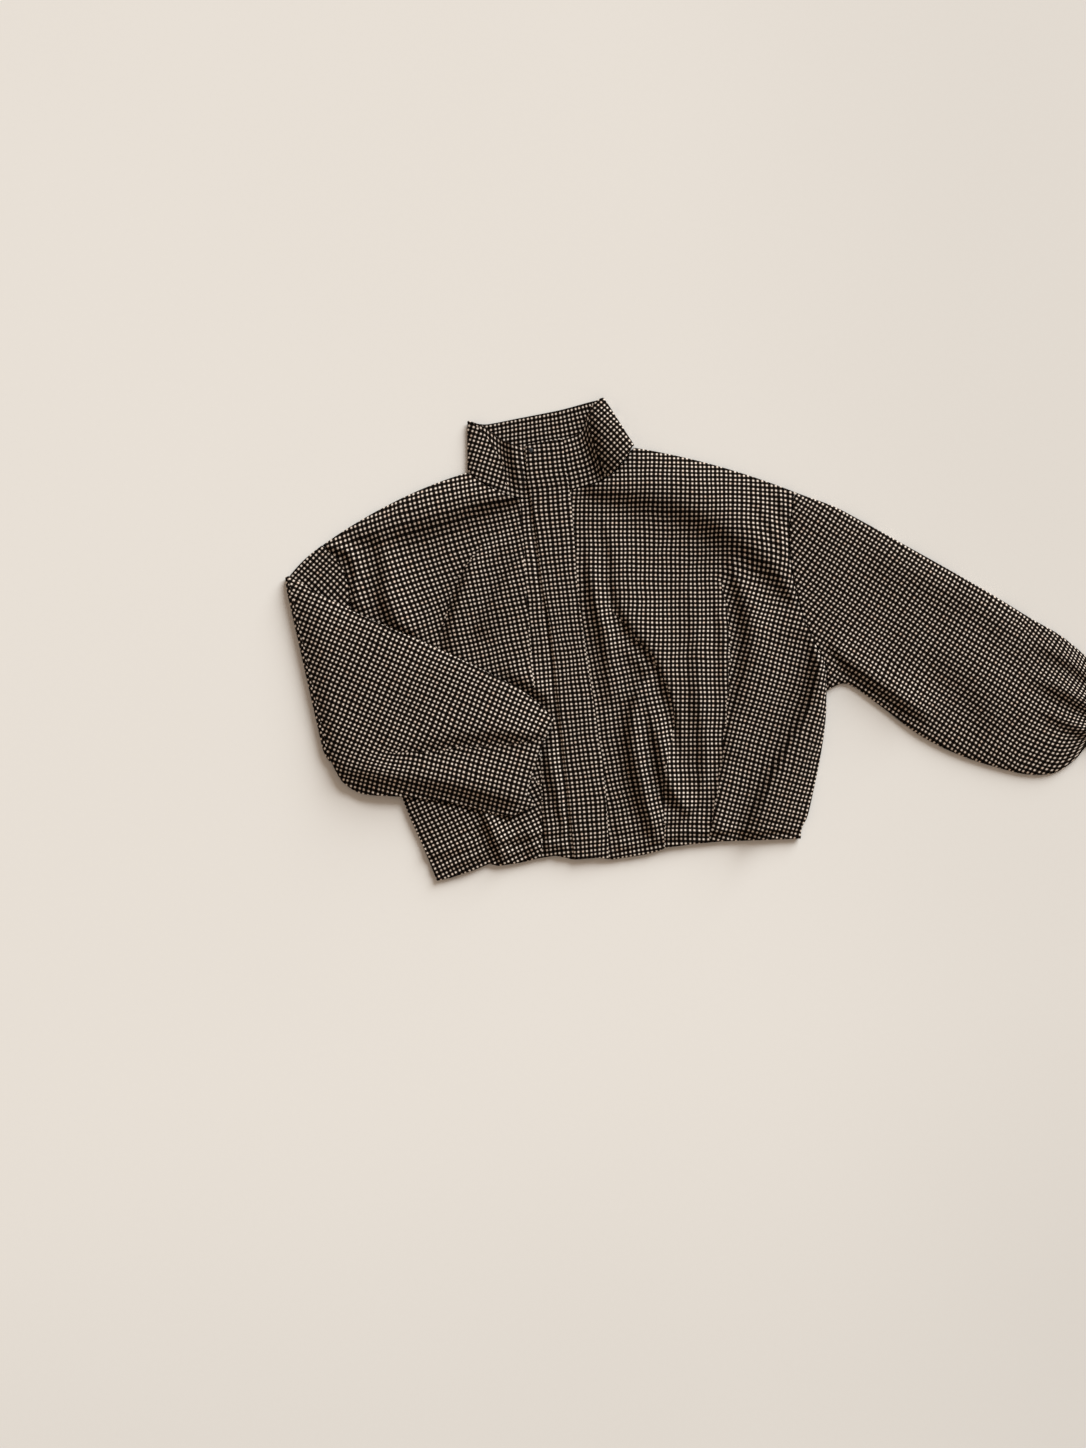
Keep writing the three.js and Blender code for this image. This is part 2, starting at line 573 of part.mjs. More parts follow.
function sleeveRight() {
  const across = 16;
  const faces = [[], []];
  const shares = [];
  for (let j = 0; j <= across; j++) shares.push(mix(j / across, 0.5 - 0.5 * Math.cos((Math.PI * j) / across), 0.6));
  const width = FOLD_TOP.distanceTo(FOLD_LOW);
  const edgeOf = (share) => Math.min(share, 1 - share) * width;

  const underSteps = 5;
  for (let i = 0; i < underSteps; i++) {
    const u = i / underSteps;
    faces[0].push(shares.map((share) => underPoint(u, share, edgeOf, 0)));
    faces[1].push(shares.map((share) => underPoint(u, share, edgeOf, 1)));
  }
  const turn = 7;
  const outward = V2(FOLD_LOW.y - FOLD_TOP.y, FOLD_TOP.x - FOLD_LOW.x).normalize();
  for (let i = 0; i <= turn; i++) {
    const angle = mix(-Math.PI / 2, Math.PI / 2, i / turn);
    [0, 1].forEach((face) => {
      faces[face].push(shares.map((share) => {
        const line = FOLD_TOP.clone().lerp(FOLD_LOW, share);
        const pinch = 1 - 0.25 * (1 - rise(edgeOf(share), 24));
        const radius = face === 0 ? FOLD_RADIUS * pinch : (FOLD_RADIUS - UNDER_THICK) * pinch;
        const reach = radius * Math.cos(angle);
        return V3(line.x + outward.x * reach, line.y + outward.y * reach, FOLD_RADIUS * pinch + radius * Math.sin(angle));
      }));
    });
  }
  const upper = new THREE.SplineCurve(OVER_ROWS.map((r) => V2(r.ux, r.uy)));
  const lower = new THREE.SplineCurve(OVER_ROWS.map((r) => V2(r.lx, r.ly)));
  const overSteps = 22;
  for (let i = 1; i <= overSteps; i++) {
    const u = i / overSteps;
    const [a, b] = [upper.getPoint(u), lower.getPoint(u)];
    const wide = a.distanceTo(b);
    const rows = [[], []];
    for (const share of shares) {
      const point = a.clone().lerp(b, share);
      const pinch = 1 - 0.25 * (1 - rise(edgeOf(share), 24));
      const onFold = 1 - ease(u / 0.16);
      const toEdge = Math.min(share, 1 - share) * wide;
      const toEnd = (1 - u) * 300;
      const swell = rise(Math.min(toEdge, toEnd), 22);
      const sag = overhang(point);
      const underside = mix(OVER_UNDERSIDE - sag, (2 * FOLD_RADIUS - UNDER_THICK) * pinch, onFold);
      const body = OVER_RIM + (OVER_THICK - OVER_RIM) * swell + overRelief(u, share) * swell;
      const thick = mix(body, UNDER_THICK * pinch, onFold);
      const fromLow = (1 - share) * wide;
      const step = ease((LOWER_STEP + 1.2 - fromLow) / 1.2) * ease((u - 0.3) / 0.1) * LOWER_STEP_DROP;
      rows[0].push(V3(point.x, point.y, underside + thick - step));
      rows[1].push(V3(point.x, point.y, underside));
    }
    faces[0].push(rows[0]);
    faces[1].push(rows[1]);
  }
  return wall(faces[0], faces[1]);
}

// A point of the stretch under the fold, on its lower face (0) or its upper face (1)
function underPoint(u, share, edgeOf, face) {
  const seam = ARMHOLE_RIGHT.getPointAt(1 - share);
  const line = FOLD_TOP.clone().lerp(FOLD_LOW, share);
  const start = V2(seam.x - SEAM - 0.3, seam.y);
  const point = start.lerp(line, u);
  const edge = 1 - 0.25 * (1 - rise(edgeOf(share), 24));
  const lift = 4.0 * Math.sin(Math.PI * Math.min(0.5, (1 - u) * 0.5)) * rise(edgeOf(share), 30);
  return V3(point.x, point.y, face === 0 ? 0 : UNDER_THICK * edge + lift);
}

// How far the folded sleeve sags where it reaches past the body's side
function overhang(point) {
  const past = -226 - (point.y + 300) * -0.26 - point.x;
  return 3.4 * ease(past / 45) * ease((-250 - point.y) / 50);
}

// Black press stud at the top corner of the placket
const STUD_RADIUS = 3.6;
const STUD_HEIGHT = 1.8;
const STUD_AT = V2(-17.5, 55.5);

function stud() {
  const profile = [
    V2(0.001, 0),
    V2(STUD_RADIUS, 0),
    V2(STUD_RADIUS, STUD_HEIGHT * 0.45),
    V2(STUD_RADIUS * 0.8, STUD_HEIGHT * 0.85),
    V2(STUD_RADIUS * 0.35, STUD_HEIGHT),
    V2(0.001, STUD_HEIGHT),
  ];
  const sides = 14;
  const points = [V3(0, 0, 0)];
  const index = [];
  const rings = profile.slice(1, -1);
  rings.forEach((p) => {
    for (let k = 0; k < sides; k++) {
      const turn = (2 * Math.PI * k) / sides;
      points.push(V3(p.x * Math.cos(turn), p.x * Math.sin(turn), p.y));
    }
  });
  points.push(V3(0, 0, STUD_HEIGHT));
  const at = (ring, k) => 1 + ring * sides + (k % sides);
  for (let k = 0; k < sides; k++) {
    index.push(0, at(0, k + 1), at(0, k));
    for (let ring = 0; ring < rings.length - 1; ring++) {
      index.push(at(ring, k), at(ring, k + 1), at(ring + 1, k + 1));
      index.push(at(ring, k), at(ring + 1, k + 1), at(ring + 1, k));
    }
    index.push(points.length - 1, at(rings.length - 1, k), at(rings.length - 1, k + 1));
  }
  const placed = points.map((p) => V3(p.x + STUD_AT.x, p.y + STUD_AT.y, p.z + PLACKET_LEVEL + PLACKET_CLOTH + REST));
  return facingOut(placed, index);
}

const WOOL = { color: 0x5b5148, roughness: 0.95, metalness: 0 };
const BLACK = { color: 0x111113, roughness: 0.45, metalness: 0.2 };

const jacket = new THREE.Group();
jacket.name = 'short_jacket';

function add(name, geometry, look) {
  const mesh = new THREE.Mesh(geometry, new THREE.MeshStandardMaterial(look));
  mesh.name = name;
  jacket.add(mesh);
}

add('back', back(), WOOL);
add('front_left', front(FRONT_LEFT, 20, 9, 28), WOOL);
add('front_right', front(FRONT_RIGHT, 16, 8, 20), WOOL);
add('placket', placket(), WOOL);
add('collar', collar(), WOOL);
add('sleeve_left', sleeveLeft(), WOOL);
add('sleeve_right', sleeveRight(), WOOL);
add('top_stud', stud(), BLACK);

// The origin is the middle of the jacket's box, on the surface it lies on
const box = new THREE.Box3().setFromObject(jacket);
const middle = box.getCenter(new THREE.Vector3());
for (const mesh of jacket.children) mesh.geometry.translate(-middle.x, -middle.y, -box.min.z);

export default jacket;
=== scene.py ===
import bpy
import math
import numpy as np
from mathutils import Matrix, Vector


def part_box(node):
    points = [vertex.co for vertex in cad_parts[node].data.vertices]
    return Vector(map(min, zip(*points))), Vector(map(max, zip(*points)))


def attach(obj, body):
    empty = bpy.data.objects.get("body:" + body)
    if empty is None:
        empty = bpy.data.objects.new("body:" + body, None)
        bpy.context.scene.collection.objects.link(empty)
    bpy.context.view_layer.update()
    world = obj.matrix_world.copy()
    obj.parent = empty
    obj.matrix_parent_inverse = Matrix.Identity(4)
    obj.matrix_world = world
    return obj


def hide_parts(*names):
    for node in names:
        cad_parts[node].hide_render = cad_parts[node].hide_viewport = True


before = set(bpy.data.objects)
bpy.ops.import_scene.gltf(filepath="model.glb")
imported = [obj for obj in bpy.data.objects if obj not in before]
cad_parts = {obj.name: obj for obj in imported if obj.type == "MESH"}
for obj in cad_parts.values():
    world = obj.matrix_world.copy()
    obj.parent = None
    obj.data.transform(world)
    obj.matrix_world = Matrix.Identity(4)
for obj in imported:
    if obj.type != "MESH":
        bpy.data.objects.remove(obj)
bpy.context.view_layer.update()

# Short jacket laid flat. Shapes are worked out in the jacket's own millimetres: X to the viewer's
# right, Y along the centre front towards the collar, Z up. ORIGIN takes them into the frame.
FRONT_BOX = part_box("front_left")
CENTRE_EDGE_X = 2.0
NECK_POINT_Y = 46.0
ORIGIN = (FRONT_BOX[0][0] * 1000 - CENTRE_EDGE_X, FRONT_BOX[1][1] * 1000 - NECK_POINT_Y)

# How the photo sits on the jacket: size of a photo pixel, tilt of the jacket in the photo, and the
# photo point that is the jacket's zero
PIXEL_MM = 1.2
TILT = math.radians(6.2)
ZERO_PX = (550.0, 495.0)
PHOTO_PX = (1086.0, 1448.0)

# Cloth thickness, the height the fronts lie at, how far they swell and over what rim, how deep the
# placket beds into them, how far up the hem its casing is stitched, and the least wall at a rim
CLOTH = 2.8
FRONT_BASE = 3.1
PUFF = 3.6
RIM = 30.0
PLACKET_DIP = 2.2
HEM_CASING = 21.0
LEAST_WALL = 0.02

# Shares of a front's height: at the underarm up its side, and at the neck up its centre
UNDERARM_ROW = 0.42
NECK_ROW = 0.815

# Repeat of the check
CHECK_MM = 5.2


def from_photo(px, py):
    dx, dy = px - ZERO_PX[0], py - ZERO_PX[1]
    x = dx * math.cos(TILT) - dy * math.sin(TILT)
    y = dx * math.sin(TILT) + dy * math.cos(TILT)
    return x * PIXEL_MM, -y * PIXEL_MM


# Small helpers on numbers and arrays

def mix(a, b, t):
    return a + (b - a) * t


def ease(t):
    t = np.clip(t, 0.0, 1.0)
    return t * t * (3 - 2 * t)


def rise(distance, width):
    return 1 - (1 - np.clip(distance / width, 0.0, 1.0)) ** 2


def round_edge(distance, radius):
    """0 at an edge, 1 from the radius inwards, along a quarter circle."""
    t = 1 - np.clip(distance / radius, 0.0, 1.0)
    return np.sqrt(np.maximum(0.0, 1 - t * t))


def bump(off, width):
    return np.exp(-((off / width) ** 2))


def catmull(points, t, tension=0.5, straight_ends=False):
    """A smooth curve through the points, asked for by share of their number."""
    points = np.asarray(points, float)
    first, final = points[:1], points[-1:]
    if straight_ends:
        first, final = 2 * first - points[1:2], 2 * final - points[-2:-1]
    padded = np.concatenate([first, points, final])
    p = np.clip(np.asarray(t, float), 0, 1) * (len(points) - 1)
    i = np.minimum(np.floor(p).astype(int), len(points) - 2)
    w = (p - i)[..., None]
    before, here, after, last = (padded[i + k] for k in range(4))
    v0, v1 = tension * (after - before), tension * (last - here)
    return ((2 * here - 2 * after + v0 + v1) * w ** 3
            + (-3 * here + 3 * after - 2 * v0 - v1) * w ** 2 + v0 * w + here)


class Curve:
    """A smooth plan curve, asked for by share of its length."""

    def __init__(self, *points):
        t = np.linspace(0, 1, 801)
        self.points = catmull(points, t)
        steps = np.hypot(*np.diff(self.points, axis=0).T)
        self.share = np.concatenate([[0], np.cumsum(steps)])
        self.share /= self.share[-1]

    def at(self, u):
        return np.stack([np.interp(u, self.share, self.points[:, k]) for k in (0, 1)], -1)

    def along(self, u):
        d = self.at(np.clip(u + 0.002, 0, 1)) - self.at(np.clip(u - 0.002, 0, 1))
        return d / np.linalg.norm(d, axis=-1, keepdims=True)


# Edges of the fronts in plan, from the hem upwards and from the centre to the shoulder
SIDE_LEFT = Curve((255, -441), (258, -428), (268, -411), (288, -351), (300, -304), (305, -269))
ARMHOLE_LEFT = Curve((305, -269), (307, -240), (297, -211), (286, -176), (279, -125), (281, -73),
                     (293, -28))
NECK_LEFT = Curve((2, 1), (24, 3), (42, 5), (60, 8), (77, 16), (92, 29), (106, 46))
SIDE_RIGHT = Curve((-185, -445), (-195, -410), (-209, -367), (-219, -330), (-231, -283), (-243, -239))
ARMHOLE_RIGHT = Curve((-243, -239), (-253, -190), (-257, -140), (-252, -92), (-258, -58), (-278, -30))
NECK_RIGHT = Curve((-2, -1), (-29, -2), (-50, 4), (-71, 16), (-87, 29), (-95, 38))

# The hem's wavy lower edge
HEM_X = [-186, -169, -144, -120, -110, -84, -60, -40, -19, 12, 27, 67, 86, 92, 132, 160, 206, 256]
HEM_Y = [-445, -443, -438, -431, -435, -434, -431, -430, -437, -438, -442, -440.5, -437.5, -434.7, -434,
         -434.5, -438, -441.5]


def hem_at(x):
    return np.interp(x, HEM_X, HEM_Y) - 1.2


# Placket edges up the centre front: place up the front, left edge, right edge. Then its length,
# its width and its cloth's thickness.
PLACKET = np.array([
    (-440, -18, 23), (-383, -17, 27), (-328, -17, 28), (-254, -17, 25), (-167, -17, 22),
    (-105, -21, 21), (-39, -22, 24), (2, -24, 24), (30, -25, 22), (64, -23, 22)], float)
PLACKET_LONG, PLACKET_WIDE, PLACKET_CLOTH = 504, 43, 2.0

# Creases. Each is a line of points read off the photo in its pixels, with the width of its dark
# side and the drop across it in millimetres. The cloth is high on the side towards the light. The
# two numbers after its name are how far the high side and the low side reach, in millimetres.
LIGHT_TOWARDS = math.radians(50)


def crease(name, high, low, line):
    return dict(name=name, high=high, low=low, line=line)


FRONT_LEFT_CREASES = [
    crease("left shoulder", 30, 50, [
        (572, 492, 10, 2.6), (605, 496, 18, 4.6), (640, 502, 34, 8), (672, 510, 42, 10), (700, 523, 44, 11),
        (728, 540, 40, 11), (750, 556, 32, 9.5), (770, 574, 20, 7), (788, 597, 9, 3)]),
    crease("armhole fold", 9, 8, [
        (756, 508, 7, 1.4), (770, 532, 8, 2.2), (780, 552, 8, 2.2), (789, 574, 6, 1.2)]),
    crease("armhole tip", 6, 6, [
        (775, 495, 6, 1), (781, 510, 7, 2.2), (786, 526, 5, 1.2)]),
    crease("drape, left side", 9, 20, [
        (583, 540, 7, 1.4), (584, 562, 8, 3), (586, 582, 9, 4.5), (592, 606, 9, 5), (599, 628, 11, 6.5),
        (603, 648, 14, 7), (605, 670, 17, 5), (606, 695, 17, 3)]),
    crease("drape, right side", 34, 9, [
        (603, 526, 8, 1.5), (610, 555, 9, 2.6), (612, 585, 9, 3), (618, 610, 9, 3.6), (631, 632, 8, 4.5),
        (645, 648, 7, 5), (656, 665, 7, 5), (664, 685, 7, 5), (671, 705, 7, 4.5), (677, 730, 7, 3.5),
        (679, 752, 6, 1.5)]),
    crease("crescent underside", 8, 16, [
        (622, 652, 14, 1.5), (640, 668, 12, 3), (646, 680, 9, 3), (636, 690, 9, 4)]),
    crease("hem fold", 8, 24, [
        (644, 681, 8, 3), (634, 698, 11, 8), (629, 722, 14, 12), (630, 748, 14, 14), (634, 772, 14, 13),
        (640, 796, 12, 10), (646, 815, 9, 7), (652, 834, 7, 4)]),
    crease("inner fold", 12, 8, [
        (646, 700, 9, 2.5), (649, 725, 12, 5), (655, 745, 13, 7), (659, 763, 12, 9), (664, 782, 11, 9),
        (671, 797, 9, 7), (681, 808, 8, 4)]),
    crease("pocket of the fold", 6, 9, [
        (703, 790, 6, 1.5), (700, 802, 8, 3), (690, 813, 8, 3), (672, 821, 8, 1.5)]),
    crease("long crease, left side", 9, 34, [
        (684, 590, 20, 1), (690, 620, 22, 2.4), (692, 660, 22, 4.5), (694, 700, 17, 5.5),
        (699, 735, 14, 4.8), (701, 765, 11, 3.8), (701, 790, 9, 3.4), (703, 806, 8, 1.5)]),
    crease("long crease, middle", 8, 7, [
        (713, 598, 6, 1), (718, 625, 6, 2.6), (720, 650, 6, 2.6), (720, 680, 6, 2.2), (718, 705, 6, 1)]),
    crease("long crease, right side", 24, 9, [
        (725, 558, 9, 1.5), (732, 580, 12, 5), (740, 605, 16, 8), (744, 630, 18, 8), (743, 655, 18, 7.5),
        (738, 685, 17, 5.5), (731, 715, 14, 4), (723, 745, 12, 5), (720, 772, 11, 5), (714, 796, 9, 4),
        (713, 826, 9, 3)]),
    crease("soft slant", 16, 14, [
        (770, 664, 16, 1.8), (756, 695, 20, 3.6), (742, 722, 20, 4), (730, 748, 16, 3)]),
    crease("underarm", 17, 40, [
        (812, 640, 12, 6), (814, 668, 14, 14), (809, 698, 16, 19), (799, 722, 17, 20), (786, 746, 18, 20),
        (772, 772, 18, 18), (759, 798, 17, 14), (745, 828, 14, 8)]),
    crease("beside the placket", 16, 6, [
        (583, 570, 8, 2), (587, 605, 9, 3.5), (590, 668, 8, 2.4), (597, 738, 8, 2.6), (603, 800, 9, 3.4),
        (606, 848, 9, 3.4)]),
]
FRONT_RIGHT_CREASES = [
    crease("right shoulder", 26, 38, [
        (362, 540, 14, 3), (385, 537, 22, 5.5), (410, 532, 34, 7.5), (435, 526, 40, 9), (460, 517, 34, 9),
        (478, 510, 24, 8), (496, 505, 16, 7), (518, 501, 8, 4)]),
    crease("chest crease", 12, 18, [
        (502, 535, 16, 2), (485, 546, 17, 5.5), (471, 560, 17, 10), (463, 578, 16, 13), (457, 598, 15, 13),
        (451, 616, 13, 10), (445, 640, 9, 4)]),
    crease("second chest crease", 16, 9, [
        (526, 545, 12, 4), (513, 562, 16, 7.5), (502, 580, 20, 9), (490, 600, 20, 8), (476, 622, 16, 3.5)]),
    crease("towards the armhole", 16, 14, [
        (376, 544, 14, 3), (381, 573, 18, 6), (382, 598, 20, 8), (389, 617, 17, 8), (399, 634, 13, 6)]),
    crease("ring at the armhole", 6, 8, [
        (313, 566, 6, 2), (322, 554, 7, 4), (335, 551, 7, 4.5), (347, 556, 7, 4), (354, 571, 7, 3.5),
        (353, 591, 8, 4.5), (356, 613, 8, 3.5)]),
    crease("hem crease", 10, 16, [
        (480, 808, 8, 6), (487, 825, 8, 7), (493, 838, 8, 7), (497, 850, 8, 5.5), (500, 863, 6, 2.5)]),
    crease("hem pucker", 9, 9, [
        (470, 868, 9, 1.5), (482, 857, 10, 3), (493, 851, 9, 1.5)]),
    crease("soft hem dip", 14, 12, [
        (524, 828, 14, 1), (529, 842, 16, 3), (530, 858, 14, 2.4)]),
    crease("edge of the fly facing", 12, 6, [
        (547, 742, 6, 1), (543, 762, 7, 1.6), (542, 790, 8, 1.8), (544, 820, 8, 2), (546, 852, 8, 2)]),
    crease("fall beside the placket", 9, 20, [
        (558, 745, 30, 1.5), (560, 780, 36, 2.6), (561, 815, 36, 2.6), (561, 852, 30, 2)]),
    crease("slant beside the placket", 9, 7, [
        (547, 760, 8, 3), (551, 782, 9, 5), (557, 808, 8, 3), (562, 826, 7, 1.5)]),
    crease("against the sleeve's end", 12, 10, [
        (508, 676, 14, 2), (524, 686, 14, 4.5), (540, 697, 12, 4)]),
]
# Narrow hollows in the right front, each a line with its width and depth in millimetres
SLEEVE_END_GAPS = [
    dict(name="beside the sleeve's end", line=[
        (551, 727, 4, 1.5), (544, 745, 5, 3.5), (539, 765, 6, 5.5), (537, 788, 7, 6.5), (531, 806, 8, 6.5),
        (521, 818, 8, 5), (508, 820, 8, 4), (488, 812, 7, 3.5), (465, 806, 6, 2.5), (440, 801, 5, 1.5)]),
    dict(name="along the fly, low", line=[
        (541, 752, 3, 1), (541.5, 790, 3.2, 2.6), (542.5, 825, 3.2, 3.0), (543, 850, 3, 2.6)]),
]
SLEEVE_LEFT_CREASES = [
    crease("under the elbow", 18, 8, [
        (832, 650, 9, 1.5), (848, 667, 9, 4.5), (868, 682, 10, 5.5), (888, 696, 11, 5.5),
        (904, 708, 12, 5.5), (922, 719, 14, 2)]),
    crease("soft elbow", 34, 26, [
        (930, 655, 36, 1.5), (955, 676, 42, 3.4), (975, 700, 42, 3.6), (990, 726, 36, 2)]),
    crease("upper arm", 30, 30, [
        (880, 570, 40, 0.8), (935, 590, 44, 1.6), (1000, 630, 40, 1.6)]),
    crease("cuff gather", 8, 9, [
        (1036, 684, 14, 1.6), (1058, 694, 18, 4), (1084, 709, 18, 5), (1108, 722, 10, 3)]),
    crease("lower cuff gather", 6, 8, [
        (1044, 716, 12, 1.6), (1068, 727, 15, 4), (1092, 740, 14, 4.5)]),
    crease("upper cuff gather", 9, 10, [
        (1040, 650, 12, 1.2), (1062, 662, 16, 3), (1088, 680, 14, 3.6)]),
]
OVER_CREASES = [
    crease("across the folded sleeve", 24, 20, [
        (390, 752, 20, 1.2), (430, 746, 20, 3), (462, 740, 20, 4), (492, 737, 20, 4.5), (516, 738, 16, 4.5),
        (532, 738, 10, 3.5), (548, 733, 8, 2)]),
    crease("lower rim", 26, 9, [
        (345, 774, 20, 2.4), (372, 780, 22, 3.4), (405, 784, 22, 3.2), (440, 788, 20, 3), (475, 795, 18, 3),
        (510, 802, 14, 2.4)]),
]
COLLAR_CREASES = [
    crease("deep valley", 44, 20, [
        (600, 398, 9, 3), (591, 411, 10, 6), (588, 425, 11, 8.5), (591, 438, 11, 9), (596, 452, 11, 9),
        (601, 466, 11, 7.5), (605, 480, 10, 4)]),
    crease("flap rising to its edge", 40, 14, [
        (606, 405, 30, 2.5), (604, 420, 36, 4.5), (607, 436, 38, 5), (611, 452, 38, 5), (615, 468, 32, 4)]),
    crease("left of the placket", 14, 20, [
        (500, 416, 14, 3), (504, 432, 18, 6), (509, 450, 18, 7), (513, 466, 14, 6), (515, 480, 10, 3)]),
]


# How strongly the creases are raised, the highest that a fold stands, and how much higher it may
# stand on the collar and beside the underarm
RELIEF = 2.4
HIGHEST = 22.5
COLLAR_ABOVE = 3.0
UNDERARM_ABOVE = 5.0
CREASE_STEP = 2.2


def photo_line(rows, count=None):
    """Plan points along a line read off the photo, every CREASE_STEP or as many as asked for, with
    the width and the amount at each."""
    rows = np.array(rows, float)
    plan = np.stack(from_photo(rows[:, 0], rows[:, 1]), -1)
    if count is None:
        count = max(12, int(np.hypot(*np.diff(plan, axis=0).T).sum() / CREASE_STEP))
    t = np.linspace(0, 1, count)
    width, amount = (np.interp(t * (len(rows) - 1), range(len(rows)), rows[:, k]) for k in (2, 3))
    return catmull(plan, t), width, amount


def nearest(x, y, line, reach):
    """Which plan points lie within reach of a line, where they are, and its nearest point to each."""
    near = ((x > line[:, 0].min() - reach) & (x < line[:, 0].max() + reach)
            & (y > line[:, 1].min() - reach) & (y < line[:, 1].max() + reach))
    points = np.stack([x[near], y[near]], -1)
    return near, points, ((points[:, None] - line[None]) ** 2).sum(-1).argmin(1)


def crease_height(x, y, creases):
    """Relief of the creases at plan points: a smooth drop across each line, dying out to both sides."""
    total = np.zeros(x.shape)
    towards = np.array((math.cos(LIGHT_TOWARDS), math.sin(LIGHT_TOWARDS)))
    for crease in creases:
        line, width, drop = photo_line(crease["line"])
        along = np.gradient(line, axis=0)
        along /= np.linalg.norm(along, axis=1, keepdims=True)
        normal = np.stack([-along[:, 1], along[:, 0]], -1)
        if (normal @ towards).mean() < 0:
            normal = -normal
        reach = max(crease["high"], crease["low"]) * 2.3 + width.max()
        near, points, k = nearest(x, y, line, reach)
        offset = points - line[k]
        off = (offset * normal[k]).sum(1)
        beyond = (offset * along[k]).sum(1)
        side = np.where(off > 0, crease["high"], crease["low"]) + width[k] / 2
        shape = 0.5 * np.tanh(off / (0.4 * width[k])) + 0.22
        total[near] += RELIEF * drop[k] * shape * bump(off, side) * bump(beyond, 9)
    return total


def gap_depth(x, y, gaps):
    """Depth of the narrow hollows at plan points."""
    total = np.zeros(x.shape)
    for gap in gaps:
        line, width, depth = photo_line(gap["line"], 90)
        near, points, k = nearest(x, y, line, 25)
        apart = ((points - line[k]) ** 2).sum(1)
        total[near] = np.maximum(total[near], depth[k] * np.exp(-apart / width[k] ** 2))
    return total


def bed_of_placket(x, y):
    """1 under the placket, where the fronts are pressed down, and 0 away from it."""
    left = np.interp(y, PLACKET[:, 0], PLACKET[:, 1])
    right = np.interp(y, PLACKET[:, 0], PLACKET[:, 2])
    bed = 3 + 6 * ease((y + 40) / 34)
    return 1 - ease((np.maximum(x - right - 1, left - x) - bed) / np.where(x > 0, 20, 7))


# The folded sleeve as it lies on the right front: its fold, its lower corner and its end
FOLD_TOP, FOLD_LOW = np.array((-322.0, -63.0)), np.array((-296.0, -289.0))
SLEEVE_CORNER_X, SLEEVE_CORNER_Y = -83, -376
SLEEVE_END_Y = (-400, -382, -369, -350, -329, -305, -275, -262, -240)
SLEEVE_END_X = (-88, -68, -56, -50, -46, -40, -24, -17, -14)


def covered_by_sleeve(x, y):
    """1 under the folded sleeve, where the right front is pressed down, and 0 away from it."""
    top = FOLD_TOP[1] - (x - FOLD_TOP[0]) * 0.66
    low = SLEEVE_CORNER_Y + np.maximum(0, SLEEVE_CORNER_X - x) * 0.3
    end = np.interp(y, SLEEVE_END_Y, SLEEVE_END_X)
    return ease((top + 11 - y) / 12) * ease((y - low + 10) / 14) * ease((end - x) / 7)


def hem_relief(x, above):
    """The hem's gathers, its casing's stitched line and its rolled rim, by height above the edge."""
    pucker = np.cos(2 * math.pi * x / 19 + 1.4 * np.sin(x / 31)) * (0.55 + 0.45 * np.sin(x / 47 + 0.8))
    gathered = ease((150 - np.abs(x - 10)) / 60) * 0.75 + 0.25
    uneven = 0.75 + 0.25 * np.sin(x / 17 + 0.6)
    # The casing's line shows on the right front and fades out over the left, where the rim rolls
    casing = uneven * (1 - 0.72 * ease((x - 60) / 60))
    roll = 1 + 0.5 * ease((x - 60) / 60)
    return (2.4 * casing * bump(above - HEM_CASING - 9.5, 7.0) + 1.0 * bump(above - 14, 3.5)
            + 0.9 * pucker * gathered * np.exp(-np.maximum(above - 5, 0) / 22)
            - 4.6 * casing * bump(above - HEM_CASING, 4.8) - 3.0 * roll * bump(above - 7.0, 2.8)
            + 0.8 * roll * bump(above - 3.0, 2.2))


# Meshes

def make_object(name, verts, faces, uvs, material):
    mesh = bpy.data.meshes.new(name)
    mesh.from_pydata((np.asarray(verts) / 1000).tolist(), [], np.asarray(faces).tolist())
    layer = mesh.uv_layers.new(name="cloth")
    loops = np.empty(len(mesh.loops), dtype=np.int32)
    mesh.loops.foreach_get("vertex_index", loops)
    layer.data.foreach_set("uv", np.asarray(uvs, float)[loops].ravel())
    mesh.materials.append(material)
    mesh.polygons.foreach_set("use_smooth", np.ones(len(mesh.polygons), dtype=bool))
    mesh.update()
    obj = bpy.data.objects.new(name, mesh)
    bpy.context.scene.collection.objects.link(obj)
    return obj


